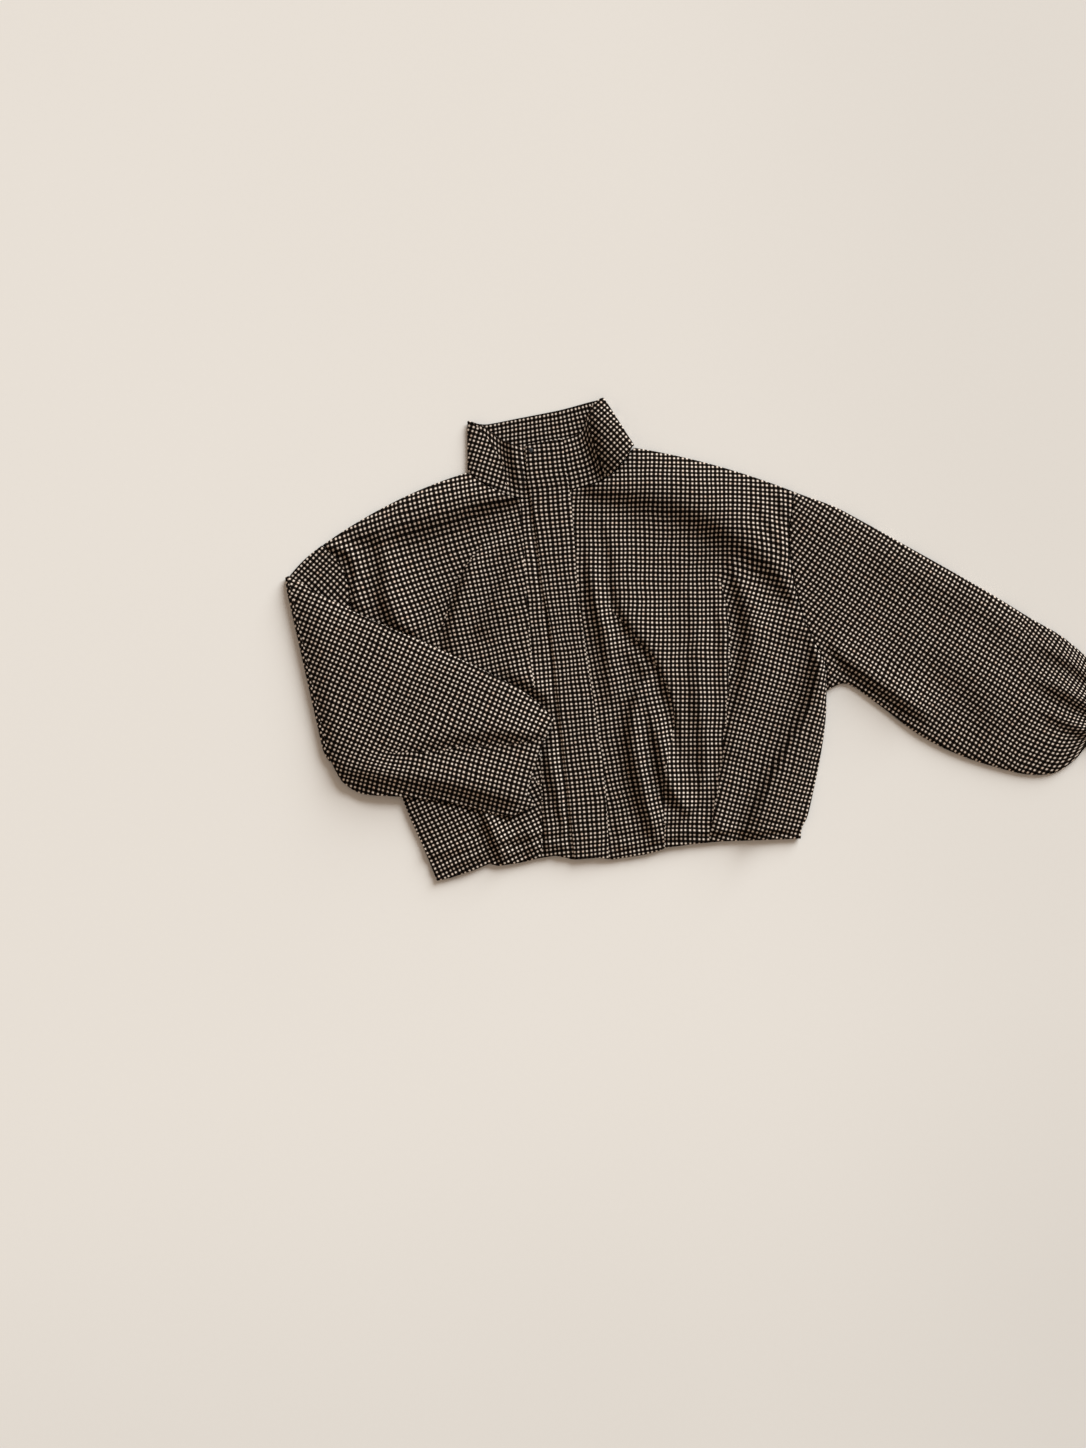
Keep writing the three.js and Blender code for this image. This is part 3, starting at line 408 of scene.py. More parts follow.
def wall(name, outer, inner, uv, closed=False, uv_at=None):
    """A wall of cloth between two grids of points, in jacket millimetres. uv_at works the cloth
    coordinates out again face by face, from a corner's place and its face's middle, so that they may
    break at a fold."""
    rows, cols = outer.shape[:2]
    points = np.concatenate([outer.reshape(-1, 3), inner.reshape(-1, 3)])
    points = points + np.array([ORIGIN[0], ORIGIN[1], 0.0])
    uvs = np.concatenate([uv.reshape(-1, 2), uv.reshape(-1, 2)])
    number = np.arange(2 * rows * cols).reshape(2, rows, cols)
    if closed:
        number = np.concatenate([number, number[:, :, :1]], axis=2)
    o, n = number
    quads = [np.stack([o[:-1, :-1], o[:-1, 1:], o[1:, 1:], o[1:, :-1]], -1).reshape(-1, 4),
             np.stack([n[:-1, :-1], n[1:, :-1], n[1:, 1:], n[:-1, 1:]], -1).reshape(-1, 4),
             np.stack([n[0, :-1], n[0, 1:], o[0, 1:], o[0, :-1]], -1),
             np.stack([o[-1, :-1], o[-1, 1:], n[-1, 1:], n[-1, :-1]], -1)]
    if not closed:
        quads += [np.stack([o[:-1, 0], o[1:, 0], n[1:, 0], n[:-1, 0]], -1),
                  np.stack([n[:-1, -1], n[1:, -1], o[1:, -1], o[:-1, -1]], -1)]
    faces = np.concatenate(quads)
    a, b, c, d = (points[faces[:, k]] for k in range(4))
    if (a * (np.cross(b, c) + np.cross(c, d))).sum() < 0:
        faces = faces[:, ::-1]
    obj = make_object(name, points, faces, uvs, WOOL)
    if uv_at is not None:
        plan = points[:, :2] - np.array(ORIGIN)
        corner, at = plan[faces], uvs[faces]
        middle = np.broadcast_to(corner.mean(1, keepdims=True), corner.shape)
        height = np.broadcast_to(points[faces][..., 2].mean(1, keepdims=True), corner.shape[:2])
        again = uv_at(corner[..., 0], corner[..., 1], middle[..., 0], middle[..., 1], at, height)
        obj.data.uv_layers["cloth"].data.foreach_set("uv", again.astype(np.float32).ravel())
    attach(obj, "root")
    return obj


def near_edges(n, edge=(0, 0), power=1.0, rim=(0.25, 0.6, 1.0, 1.4)):
    """Shares from 0 to 1 with a few extra close to each end, for rounded rims. edge gives the whole
    length as it counts at the two ends, or 0 for an end with no rim."""
    base = np.linspace(0, 1, n + 1)
    shares = [mix(base, base ** power, 0.6)]
    if edge[0] > 0:
        shares.append([r / edge[0] for r in rim])
    if edge[1] > 0:
        shares.append([1 - r / edge[1] for r in rim])
    keep = [0.0]
    for share in np.unique(np.concatenate(shares))[1:-1]:
        if share - keep[-1] > 2e-4:
            keep.append(share)
    return np.array(keep + [1.0])


# Materials

def node(tree, kind, **values):
    made = tree.nodes.new(kind)
    for key, value in values.items():
        setattr(made, key, value)
    return made


class Graph:
    """Short words for building a material."""

    def __init__(self, name):
        self.material = bpy.data.materials.new(name)
        self.material.use_nodes = True
        self.tree = self.material.node_tree
        self.tree.nodes.clear()
        out = node(self.tree, "ShaderNodeOutputMaterial")
        self.bsdf = node(self.tree, "ShaderNodeBsdfPrincipled")
        self.link(self.bsdf.outputs[0], out.inputs[0])

    def link(self, a, b):
        self.tree.links.new(a, b)

    def put(self, socket, value):
        if hasattr(value, "is_output"):
            self.link(value, socket)
        else:
            socket.default_value = value

    def math(self, operation, a, b=None):
        n = node(self.tree, "ShaderNodeMath", operation=operation)
        for socket, value in zip(n.inputs, (a, b)):
            if value is not None:
                self.put(socket, value)
        return n.outputs[0]

    def plus(self, a, b):
        return self.math("ADD", a, b)

    def minus(self, a, b):
        return self.math("SUBTRACT", a, b)

    def times(self, a, b):
        return self.math("MULTIPLY", a, b)

    def split(self, vector):
        n = node(self.tree, "ShaderNodeSeparateXYZ")
        self.link(vector, n.inputs[0])
        return n.outputs

    def colour(self, value, strength):
        """Sets the base colour, scaled by a strength."""
        n = node(self.tree, "ShaderNodeVectorMath", operation="SCALE")
        self.link(value, n.inputs[0])
        self.link(strength, n.inputs[3])
        self.link(n.outputs[0], self.bsdf.inputs["Base Color"])

    def matt(self, roughness, specular):
        self.bsdf.inputs["Roughness"].default_value = roughness
        self.bsdf.inputs["Specular IOR Level"].default_value = specular

    def place(self):
        return node(self.tree, "ShaderNodeTexCoord").outputs["Object"]

    def smooth(self, value, low, high):
        n = node(self.tree, "ShaderNodeMapRange", interpolation_type="SMOOTHSTEP")
        for socket, v in zip(n.inputs, (value, low, high, 0.0, 1.0)):
            self.put(socket, v)
        return n.outputs[0]

    def noise(self, vector, scale, detail=2.0, rough=0.5):
        n = node(self.tree, "ShaderNodeTexNoise", noise_dimensions="3D")
        self.link(vector, n.inputs["Vector"])
        n.inputs["Scale"].default_value = scale
        n.inputs["Detail"].default_value = detail
        n.inputs["Roughness"].default_value = rough
        return n.outputs[0]

    def mix_colour(self, share, a, b):
        n = node(self.tree, "ShaderNodeMix", data_type="RGBA")
        self.put(n.inputs[0], share)
        self.put(n.inputs[6], a)
        self.put(n.inputs[7], b)
        return n.outputs[2]


# Wool check: off-white dots on a black-brown grid, every second dark line a little wider. Half a
# dot's width is a share of the repeat.
DARK = (0.0014, 0.0009, 0.0007, 1)
MIDDLE = (0.022, 0.0140, 0.0094, 1)
LIGHT = (0.700, 0.590, 0.495, 1)
PEACH = (0.700, 0.530, 0.415, 1)
HALF_DOT, WIDER_DOT = 0.150, 0.06
YARN_MM = 0.87


def wool():
    g = Graph("wool_check")
    uv = node(g.tree, "ShaderNodeUVMap", uv_map="cloth").outputs[0]
    threads = g.split(uv)
    small_wander = g.times(g.minus(g.noise(uv, 0.035, 2.0), 0.5), 2.2)
    wide_wander = g.times(g.minus(g.noise(uv, 0.013, 1.0), 0.5), 7.0)
    wobble = g.plus(small_wander, wide_wander)
    bands = []
    for axis, lean in ((0, wobble), (1, g.times(wobble, -0.6))):
        along = g.plus(threads[axis], lean)
        cell = g.math("DIVIDE", along, CHECK_MM)
        place = g.math("FRACT", cell)
        from_middle = g.math("ABSOLUTE", g.minus(place, 0.5))
        from_wide_line = g.math("PINGPONG", cell, 1.0)
        wider = g.times(g.smooth(from_wide_line, 0.45, 0.55), WIDER_DOT)
        half = g.plus(HALF_DOT, wider)
        bands.append(g.smooth(from_middle, g.plus(half, 0.09), g.minus(half, 0.05)))
    both = g.times(bands[0], bands[1])
    either = g.minus(g.plus(bands[0], bands[1]), g.times(both, 2.0))
    fibre = g.noise(uv, 1.7, 3.0, 0.65)
    patch = g.noise(uv, 0.11, 2.0)
    light = g.mix_colour(g.smooth(patch, 0.50, 0.72), LIGHT, PEACH)
    base = g.mix_colour(either, DARK, MIDDLE)
    tone = g.plus(0.80, g.times(fibre, 0.40))
    soft = g.plus(0.86, g.times(g.noise(uv, 0.018, 2.0), 0.28))
    g.colour(g.mix_colour(both, base, light), g.times(tone, soft))
    g.matt(1.0, 0.06)
    yarn_u, yarn_v = (g.math("SINE", g.times(threads[axis], 2 * math.pi / YARN_MM))
                      for axis in (0, 1))
    yarn = g.times(g.times(yarn_u, yarn_v), 0.16)
    dots = g.plus(g.times(both, 0.32), yarn)
    height = g.plus(dots, g.times(fibre, 0.45))
    lump = node(g.tree, "ShaderNodeBump")
    lump.inputs["Strength"].default_value = 0.55
    lump.inputs["Distance"].default_value = 0.0005
    g.link(height, lump.inputs["Height"])
    g.link(lump.outputs[0], g.bsdf.inputs["Normal"])
    return g.material


WOOL = wool()


# How the cloth's grain turns: beyond each line the cloth is swung about the pivot, and what the
# turn takes up is tucked into the fold there. Line points run from the pivot downwards.
GRAIN_LEFT = [
    dict(side=-1, pivot=(51, -137), angle=-10.0,
         y=(-137, -162, -187, -205, -229, -253, -277, -310, -350, -400, -440),
         x=(51, 71, 88, 101, 110, 117, 121, 113, 98, 94, 92)),
    dict(side=1, pivot=(188, -120), angle=15.0,
         y=(-120, -150, -194, -266, -338, -420, -445), x=(190, 196, 196, 186, 170, 149, 143)),
]
GRAIN_RIGHT = [
    dict(side=-1, pivot=(-36, 0), angle=-6.5,
         y=(0, -100, -200, -300, -345, -390, -445), x=(-36, -40, -44, -45, -47, -52, -58)),
    dict(side=-1, pivot=(-84, -45), angle=-6.5,
         y=(-45, -51, -86, -132, -165, -240, -310, -345, -390, -445),
         x=(-84, -88, -121, -140, -154, -150, -100, -47, -52, -58)),
    dict(side=-1, pivot=(-110, -240), angle=-7.0,
         y=(-240, -310, -345, -390, -445), x=(-106, -80, -47, -52, -58)),
]


def turned(u, v, degrees):
    angle = np.radians(degrees)
    return np.stack([u * np.cos(angle) - v * np.sin(angle), u * np.sin(angle) + v * np.cos(angle)], -1)


def grain(x, y, cx, cy, turns, base_angle):
    """Cloth coordinates of plan points, after undoing each turn from the outermost inwards.
    A turn is whole for a face whose middle (cx, cy) is beyond its line, and dies out round the
    pivot, above it."""
    uv = np.stack([x, y], -1)
    for turn in reversed(turns):
        px, py = turn["pivot"]
        line = np.interp(-cy, [-a for a in turn["y"]], turn["x"])
        crossed = (cx - line) * turn["side"] > 0
        round_pivot = np.degrees(np.arctan2((x - px) * turn["side"], py - y))
        fading = 1 - ease((round_pivot - 40) / 130)
        share = np.where(cy < py, crossed, round_pivot > 0) * fading
        uv = turned(uv[..., 0] - px, uv[..., 1] - py, turn["angle"] * share) + (px, py)
    return turned(uv[..., 0], uv[..., 1], base_angle)


# The two fronts

def front_plan(front, s, t):
    """Plan of a front at shares s from its centre outwards and t from its hem upwards."""
    hem = hem_at(front["edge"])
    up_centre = mix(hem, front["neck_y"], np.clip(t / NECK_ROW, 0, 1))
    centre = np.stack([np.full_like(t, front["edge"]), up_centre], -1)
    neck = front["neck"].at(np.clip((t - NECK_ROW) / (1 - NECK_ROW), 0, 1))
    inner = np.where((t < NECK_ROW)[..., None], centre, neck)
    side = front["side"].at(np.clip(t / UNDERARM_ROW, 0, 1))
    armhole = front["armhole"].at(np.clip((t - UNDERARM_ROW) / (1 - UNDERARM_ROW), 0, 1))
    outer = np.where((t < UNDERARM_ROW)[..., None], side, armhole)
    point = inner + (outer - inner) * s[..., None]
    straight = mix(hem, front["side"].at(0.0)[1], s)
    near_hem = 1 - ease(t / 0.14)
    near_shoulder = 4 * s * (1 - s) * ease((t - 0.75) / 0.25)
    x, y = point[..., 0], point[..., 1]
    return x, y + (hem_at(x) - straight) * near_hem + front["shoulder"] * near_shoulder


def soft_floor(z, floor, softness=1.2):
    """z kept above the floor, without a kink."""
    return floor + softness * np.log1p(np.exp(np.clip((z - floor) / softness, -30, 30)))


def under_ceiling(z):
    """z kept under the highest fold, without a kink."""
    return -soft_floor(-z, -HIGHEST, 1.6)


def soft_waves(x, y):
    """The cloth is nowhere quite flat between its creases."""
    return (0.42 * np.sin(x / 9.5 + 1.7 * np.sin(y / 43)) * np.sin(y / 21 + 0.9 * np.sin(x / 37))
            + 0.5 * np.sin((x + 0.4 * y) / 23 + 1.0) * np.sin((y - 0.3 * x) / 33))


def front_top(front, s, t, x, y):
    """Height of a front's upper face: its level, creases, hem, seam and what presses it down."""
    to_hem = t * front["height"]
    to_shoulder = (1 - t) * front["height"] * 0.8
    to_side = (1 - s) * front["width"]
    on_armhole = ease((t - UNDERARM_ROW) / 0.12)
    side_rim = mix(rise(to_side, RIM), 1.0, on_armhole)
    rims = rise(to_hem, RIM * 0.7) * rise(to_shoulder, RIM) * side_rim
    near_rims = rise(to_hem, 9) * rise(to_shoulder, 10) * rise(to_side, 10)
    bed = bed_of_placket(x, y)
    open_cloth = 1 - (covered_by_sleeve(x, y) if front["covered"] else 0)
    creases = crease_height(x, y, front["creases"]) * near_rims * (1 - bed) * open_cloth
    contact = 3.6 * (1 - open_cloth)
    if front["covered"]:
        contact = contact + gap_depth(x, y, SLEEVE_END_GAPS)
    hem = hem_relief(x, to_hem) * (1 - bed)
    free_edge = np.interp(y, PLACKET[:, 0], PLACKET[:, 1]) - x
    contact = contact + 2.0 * bump(free_edge - 2.2, 2.0)
    level = FRONT_BASE + CLOTH + PUFF * rims - PLACKET_DIP * bed * rims
    near_top = 0.25 + 0.75 * ease((t - 0.72) / 0.1)
    seam = (2.0 * bump(to_side, 3.5) + 0.5 * bump(to_side - 9, 1.6)) * near_top
    seam = seam * ease((t - UNDERARM_ROW) / 0.03)
    raised = UNDERARM_ABOVE * ease((x - 150) / 60) * ease((-150 - y) / 50)
    z = level + creases + soft_waves(x, y) + hem - seam - contact
    z = soft_floor(z, FRONT_BASE + CLOTH - 0.4)
    return under_ceiling(z - raised) + raised


FRONT_LEFT = dict(
    edge=CENTRE_EDGE_X, neck_y=1.0, neck=NECK_LEFT, side=SIDE_LEFT, armhole=ARMHOLE_LEFT,
    shoulder=6.0, width=275.0, height=460.0, covered=False, creases=FRONT_LEFT_CREASES)
FRONT_RIGHT = dict(
    edge=-CENTRE_EDGE_X, neck_y=-1.0, neck=NECK_RIGHT, side=SIDE_RIGHT, armhole=ARMHOLE_RIGHT,
    shoulder=8.5, width=235.0, height=450.0, covered=True, creases=FRONT_RIGHT_CREASES)


def front(name, shape, turns, base_angle, flat, area):
    s = near_edges(96, (0, shape["width"]), power=1.7)
    below = near_edges(118, (shape["height"] * NECK_ROW, 0)) * NECK_ROW
    above = NECK_ROW + near_edges(44, (0, 95)) * (1 - NECK_ROW)
    t = np.concatenate([below[:-1], above])
    tt, ss = np.meshgrid(t, s, indexing="ij")
    x, y = front_plan(shape, ss, tt)
    top = front_top(shape, ss, tt, x, y)
    edge = np.minimum(np.minimum(tt, 1 - tt) * shape["height"], (1 - ss) * shape["width"])
    half = CLOTH / 2 * round_edge(edge, CLOTH / 2)
    middle = top - CLOTH / 2
    outer = np.stack([x, y, middle + half], -1)
    inner = np.stack([x, y, middle - half - LEAST_WALL], -1)
    obj = wall(name, outer, inner, outer[..., :2],
               uv_at=lambda x, y, cx, cy, uv, z: grain(x, y, cx, cy, turns, base_angle))
    return obj


PHOTO_GRAIN = math.degrees(TILT)
cloth_front_left = front("cloth_front_left", FRONT_LEFT, GRAIN_LEFT, PHOTO_GRAIN, (0.31, 0.49), 0.118)
cloth_front_right = front("cloth_front_right", FRONT_RIGHT, GRAIN_RIGHT, 0.0, (0.28, 0.485), 0.100)


# The back, flat under the fronts

BACK_INSET = 1.2


def back():
    rows = [(SIDE_RIGHT.at(k), SIDE_LEFT.at(k)) for k in np.linspace(0, 1, 24)]
    rows += [(ARMHOLE_RIGHT.at(k), ARMHOLE_LEFT.at(k)) for k in np.linspace(0, 1, 30)[1:]]
    tips = ARMHOLE_RIGHT.points[-1], ARMHOLE_LEFT.points[-1]
    necks = NECK_RIGHT.points[-1], NECK_LEFT.points[-1]
    for share in np.linspace(0, 1, 14)[1:]:
        arch = math.sin(math.pi * share)
        down = 0.8 * share + BACK_INSET
        rows.append([mix(tip, neck, share) + (0, front["shoulder"] * arch - down)
                     for tip, neck, front in zip(tips, necks, (FRONT_RIGHT, FRONT_LEFT))])
    s = near_edges(60, (500, 500))
    x = np.array([mix(a[0] + BACK_INSET, b[0] - BACK_INSET, s) for a, b in rows])
    y = np.array([mix(a[1], b[1], s) for a, b in rows])
    y = y + (hem_at(x) + BACK_INSET - y[0]) * (1 - ease((y - y[0]) / 60))
    top = np.stack([x, y, np.full_like(x, CLOTH)], -1)
    under = np.stack([x, y, np.zeros_like(x)], -1)
    obj = wall("cloth_back", top, under, turned(x, y, PHOTO_GRAIN))
    return obj


cloth_back = back()


# The placket, with a free left edge, a stitched right edge and a turned top

def placket():
    level = FRONT_BASE + CLOTH + PUFF - PLACKET_DIP + 0.45
    t = near_edges(170, (PLACKET_LONG, PLACKET_LONG))
    s = near_edges(18, (44, 44))
    tt, ss = np.meshgrid(t, s, indexing="ij")
    left, right = (catmull(PLACKET[:, [side, 0]], t)[:, None] for side in (1, 2))
    x = mix(left[..., 0], right[..., 0], ss)
    y = mix(left[..., 1], right[..., 1], ss)
    y = y + 2.4 * (ss - 0.5) * ease((y - 20) / 40) + (hem_at(x) + 440) * (1 - ease(tt / 0.1))
    base = level - 1.6 * (1 - rise(tt * PLACKET_LONG, RIM)) + 1.2 * ease((y - 2) / 20)
    across = ss * PLACKET_WIDE
    stitch = 0.35 * bump(across - 38, 0.9) + 0.18 * np.cos(2 * math.pi * y / 4.2) * bump(across - 38, 1.4)
    soft = 0.35 * np.sin(y / 23.0) * np.sin(y / 61.0 + 1) + 0.25 * bump(across - 9, 7)
    edge = np.minimum(np.minimum(ss, 1 - ss) * PLACKET_WIDE, np.minimum(tt, 1 - tt) * PLACKET_LONG)
    half = PLACKET_CLOTH / 2 * round_edge(edge, PLACKET_CLOTH / 2)
    middle = base + PLACKET_CLOTH / 2
    sunk = 1.3 * ease((across - 34) / 9) * (1 - ease((y - 2) / 20))
    lip = 0.5 * bump(across - 3, 2.5) + 0.6 * bump((1 - tt) * PLACKET_LONG - 3.2, 2.2)
    outer = np.stack([x, y, middle + half + soft + lip - stitch - sunk], -1)
    inner = np.stack([x, y, middle - half - LEAST_WALL - sunk * 0.3], -1)
    uv = np.stack([across + 2.3, y], -1)
    obj = wall("cloth_placket", outer, inner, uv)
    return obj


cloth_placket = placket()

# Collar rows: seam as a share of a front's neck or as a point, its height, then the top edge
L, R = NECK_LEFT, NECK_RIGHT
COLLAR = [
    (L, 0.01, 5.7, 3, 62.5, 5.8), (L, 0.2, 6.4, 23, 65, 6.6), (L, 0.3, 7.1, 32, 67, 7.7),
    (L, 0.4, 7.4, 42, 70, 8.8), (L, 0.5, 6.4, 50, 78, 8.6), (L, 0.59, 5.6, 56, 92, 4.9),
    (L, 0.67, 6.8, 61, 100, 7.6), (L, 0.79, 7.8, 67, 105, 8.6), (L, 0.9, 7.2, 72, 108, 7.6),
    ((105.5, 47.8), 0, 4.6, 76, 109, 4.4), ((103, 47.6), 0, 1.6, 73, 108.5, 1.4),
    ((70, 45.6), 0, 1.3, 58, 106.5, 1.3), ((25, 43.6), 0, 1.3, 23, 101, 1.3),
    ((-30, 41.2), 0, 1.3, -28, 96.5, 1.3), ((-70, 39.8), 0, 1.3, -66, 93.5, 1.3),
    ((-91, 40.0), 0, 1.5, -82, 97, 1.4), ((-94, 40.4), 0, 4.4, -88, 99.5, 4.3),
    (R, 0.93, 7.2, -82, 97, 7.2), (R, 0.8, 7.9, -70, 90, 8.2), (R, 0.6, 7.8, -55, 76, 8.4),
    (R, 0.42, 7.2, -42, 67, 8.0), (R, 0.26, 5.8, -30, 62, 6.0), (R, 0.01, 5.7, -3, 61.5, 5.8)]


# The lines where the collar's two ends turn, and how the grain lies beyond them
RIGHT_FOLD_Y, RIGHT_FOLD_X = (10, 28, 46, 62, 78, 94, 110), (70, 66, 61, 58, 55, 57, 66)
LEFT_FOLD_Y, LEFT_FOLD_X = (10, 40, 60, 80, 100), (-50, -52, -58, -70, -84)
RIGHT_END_GRAIN, LEFT_END_GRAIN = 50.5, 24.0
COLLAR_HIGH, COLLAR_HALF = 58, 1.3


def ends_turned(x, y, cx, cy, uv, z):
    """Cloth coordinates on the collar, turned beyond each fold on the faces that look up."""
    right = (cx > np.interp(cy, RIGHT_FOLD_Y, RIGHT_FOLD_X)) & (z > 3.2)
    left = (cx < np.interp(cy, LEFT_FOLD_Y, LEFT_FOLD_X)) & (z > 3.2)
    uv = np.where(right[..., None], turned(x, y, RIGHT_END_GRAIN), uv)
    return np.where(left[..., None], turned(x, y, LEFT_END_GRAIN), uv)


def collar():
    seam, edge = [], []
    for where, share, low, tx, ty, high in COLLAR:
        if isinstance(where, Curve):
            point, along = where.at(share), where.along(share)
            side = 1 if where is L else -1
            seam.append((point[0] - along[1] * side, point[1] + along[0] * side, low))
        else:
            seam.append((where[0], where[1], low))
        edge.append((tx, ty, high))
    t = np.linspace(0, 1, 331)
    a, b = (catmull(line, t, tension=0.4, straight_ends=True) for line in (seam, edge))
    up = near_edges(20, (COLLAR_HIGH, COLLAR_HIGH))
    middle = a[:, None] + (b - a)[:, None] * up[None, :, None]
    x, y, z = (middle[..., k] for k in range(3))
    on_top = ease((z - 5.5) / 2) * ease((np.abs(x) - 26) / 8)
    z += 0.7 * np.sin(math.pi * up)[None] * on_top
    front_part = ease((z - 4.0) / 1.5) * ease((np.abs(x) - 26) / 7)
    z += crease_height(x, y, COLLAR_CREASES) * front_part
    middle[..., 2] = under_ceiling(z - COLLAR_ABOVE) + COLLAR_ABOVE
    out = np.cross(np.gradient(middle, axis=0), np.gradient(middle, axis=1))
    out /= np.linalg.norm(out, axis=-1, keepdims=True)
    rim = np.minimum(up, 1 - up) * COLLAR_HIGH
    half = COLLAR_HALF * round_edge(rim, COLLAR_HALF)[None, :, None]
    edge_roll = -0.45 * bump(up * COLLAR_HIGH - 54, 2.2)[None, :, None]
    front_face = middle + out * (half + edge_roll * (half > 0.9))
    back_face = middle - out * half
    for face in (front_face, back_face):
        face[..., 2] = np.maximum(face[..., 2], 0.0)
    lengths = np.concatenate([[0], np.cumsum(np.linalg.norm(np.diff((a + b) / 2, axis=0), axis=1))])
    uv = np.stack(np.broadcast_arrays(lengths[:, None], (up * COLLAR_HIGH)[None]), -1)
    obj = wall("cloth_collar", front_face, back_face, uv, uv_at=ends_turned)
    return obj


cloth_collar = collar()

# The sleeve laid out, in rows from the armhole: upper edge, lower edge, crown height. Then its
# length, how far its upper edge is puffed out and the slope of that edge, the middle height of its
# rims, its grain, the point that the grain is turned about, and the cloth's full width.
SLEEVE_OUT = np.array([
    (294, -28, 306, -269, 9.4), (332, -52, 331, -264, 9.4), (377, -83, 366, -293, 9.5),
    (422, -115, 410, -334, 9.5), (467, -147, 455, -363, 9.5), (512, -180, 501, -384, 9.5),
    (556, -214, 537, -396, 9.5), (590, -239, 567, -397, 9.5), (620, -270, 592, -385, 9.4),
    (639, -292, 607, -371, 9.2), (648, -306, 615, -368, 8.8), (661, -313, 628, -376, 8.8)], float)
SLEEVE_LONG = 480
UPPER_EDGE_OUT = 5.5
UPPER_EDGE_SLOPE = math.radians(35.4)
SLEEVE_RIM_Z = 3.0
SLEEVE_GRAIN = 38.2
SLEEVE_GRAIN_FROM = (300, -150)
SLEEVE_FULL = 196.0


def sleeve_left():
    u = near_edges(190, (SLEEVE_LONG, SLEEVE_LONG), rim=(0.4, 0.9, 1.5))
    k = np.linspace(0, 1, 77)
    share = mix(k, 0.5 - 0.5 * np.cos(math.pi * k), 0.55)
    uu, ss = np.meshgrid(u, share, indexing="ij")
    rows = catmull(SLEEVE_OUT, u)[:, None]
    a, b, crown = rows[..., 0:2], rows[..., 2:4], rows[..., 4]
    outwards = np.array((math.sin(UPPER_EDGE_SLOPE), math.cos(UPPER_EDGE_SLOPE)))
    a = a + outwards * (UPPER_EDGE_OUT * ease(u / 0.12) * ease((1 - u) / 0.12))[:, None, None]
    point = a + (b - a) * ss[..., None]
    seam = ARMHOLE_LEFT.at(1 - ss)
    bend = 1 - ease(uu / 0.2)
    x = point[..., 0] + (seam[..., 0] + 0.9 - mix(SLEEVE_OUT[0, 0], SLEEVE_OUT[0, 2], ss)) * bend
    y = point[..., 1] + (seam[..., 1] - mix(SLEEVE_OUT[0, 1], SLEEVE_OUT[0, 3], ss)) * bend
    wide = np.linalg.norm(b - a, axis=-1)
    rim = np.minimum(ss, 1 - ss) * wide
    swell = rise(rim, 34)
    drawn = ease((uu - 0.70) / 0.24)
    phase = 2 * math.pi * 7 * ss
    gathers = drawn * (1.5 * np.cos(phase) + 0.5 * np.cos(2.3 * phase + 1.0))
    casing = bump((uu - 0.905) * SLEEVE_LONG, 3.0)
    at_seam = 0.5 * bump(uu * SLEEVE_LONG, 3.0) * (1 - 0.8 * ease((ss - 0.35) / 0.2))
    relief = crease_height(x, y, SLEEVE_LEFT_CREASES) + soft_waves(x, y) + gathers - casing - at_seam
    edge = SLEEVE_RIM_Z * round_edge(rim, 5.0)
    top = SLEEVE_RIM_Z + edge + (crown - 2 * SLEEVE_RIM_Z) * swell + relief * swell
    under = SLEEVE_RIM_Z - edge
    across = (b - a) / wide[..., None]
    inset = np.where(ss < 0.5, 1.0, -1.0) * CLOTH * (1 - np.clip(rim / 6, 0, 1))
    in_x, in_y = x + across[..., 0] * inset, y + across[..., 1] * inset
    lowest_in = CLOTH + 0.4
    in_top = mix(lowest_in, np.maximum(top - CLOTH, lowest_in), rise(rim, 8))

    def round_tube(upper, lower):
        return np.concatenate([upper, lower[:, -2:0:-1]], axis=1)

    outer = round_tube(np.stack([x, y, top], -1), np.stack([x, y, under], -1))
    inner = round_tube(np.stack([in_x, in_y, in_top], -1),
                       np.stack([in_x, in_y, np.full_like(x, CLOTH)], -1))
    uv = turned(x - SLEEVE_GRAIN_FROM[0], y - SLEEVE_GRAIN_FROM[1], SLEEVE_GRAIN)
    middle = (a + b) / 2 - SLEEVE_GRAIN_FROM
    mid_at = turned(middle[..., 0], middle[..., 1], SLEEVE_GRAIN)[..., 1]
    full = np.maximum(wide, np.where(u[:, None] > 0.5, SLEEVE_FULL, 0.0))
    uv[..., 1] = mid_at + (uv[..., 1] - mid_at) * (full / wide)
    uv = round_tube(uv, uv)
    obj = wall("cloth_sleeve_left", outer, inner, uv, closed=True)
    return obj


cloth_sleeve_left = sleeve_left()

# The length of the folded sleeve that lies over the front, in rows from the fold: upper edge, lower
# edge. Then how long it is and how far it is puffed up, the radius of the fold, the thickness before
# the fold, the underside, thickness and rim after it, and how the top bulges out before it.
OVER = np.array([
    (-322, -63, -296, -289), (-286, -90, -284, -316), (-251, -113, -262, -329),
    (-192, -147, -218, -337), (-149, -172, -179, -345), (-95, -205, -140, -356),
    (-52, -236, -106, -370), (-25, -268, -84, -375)], float)
OVER_LONG = 300
FOLDED_PUFF = 5.3
FOLD_RADIUS, UNDER_THICK, OVER_UNDERSIDE, OVER_THICK, OVER_RIM = 6.6, 5.2, 10.0, 6.6, 4.4
BAGGY = np.array((-1.4, 1.9))


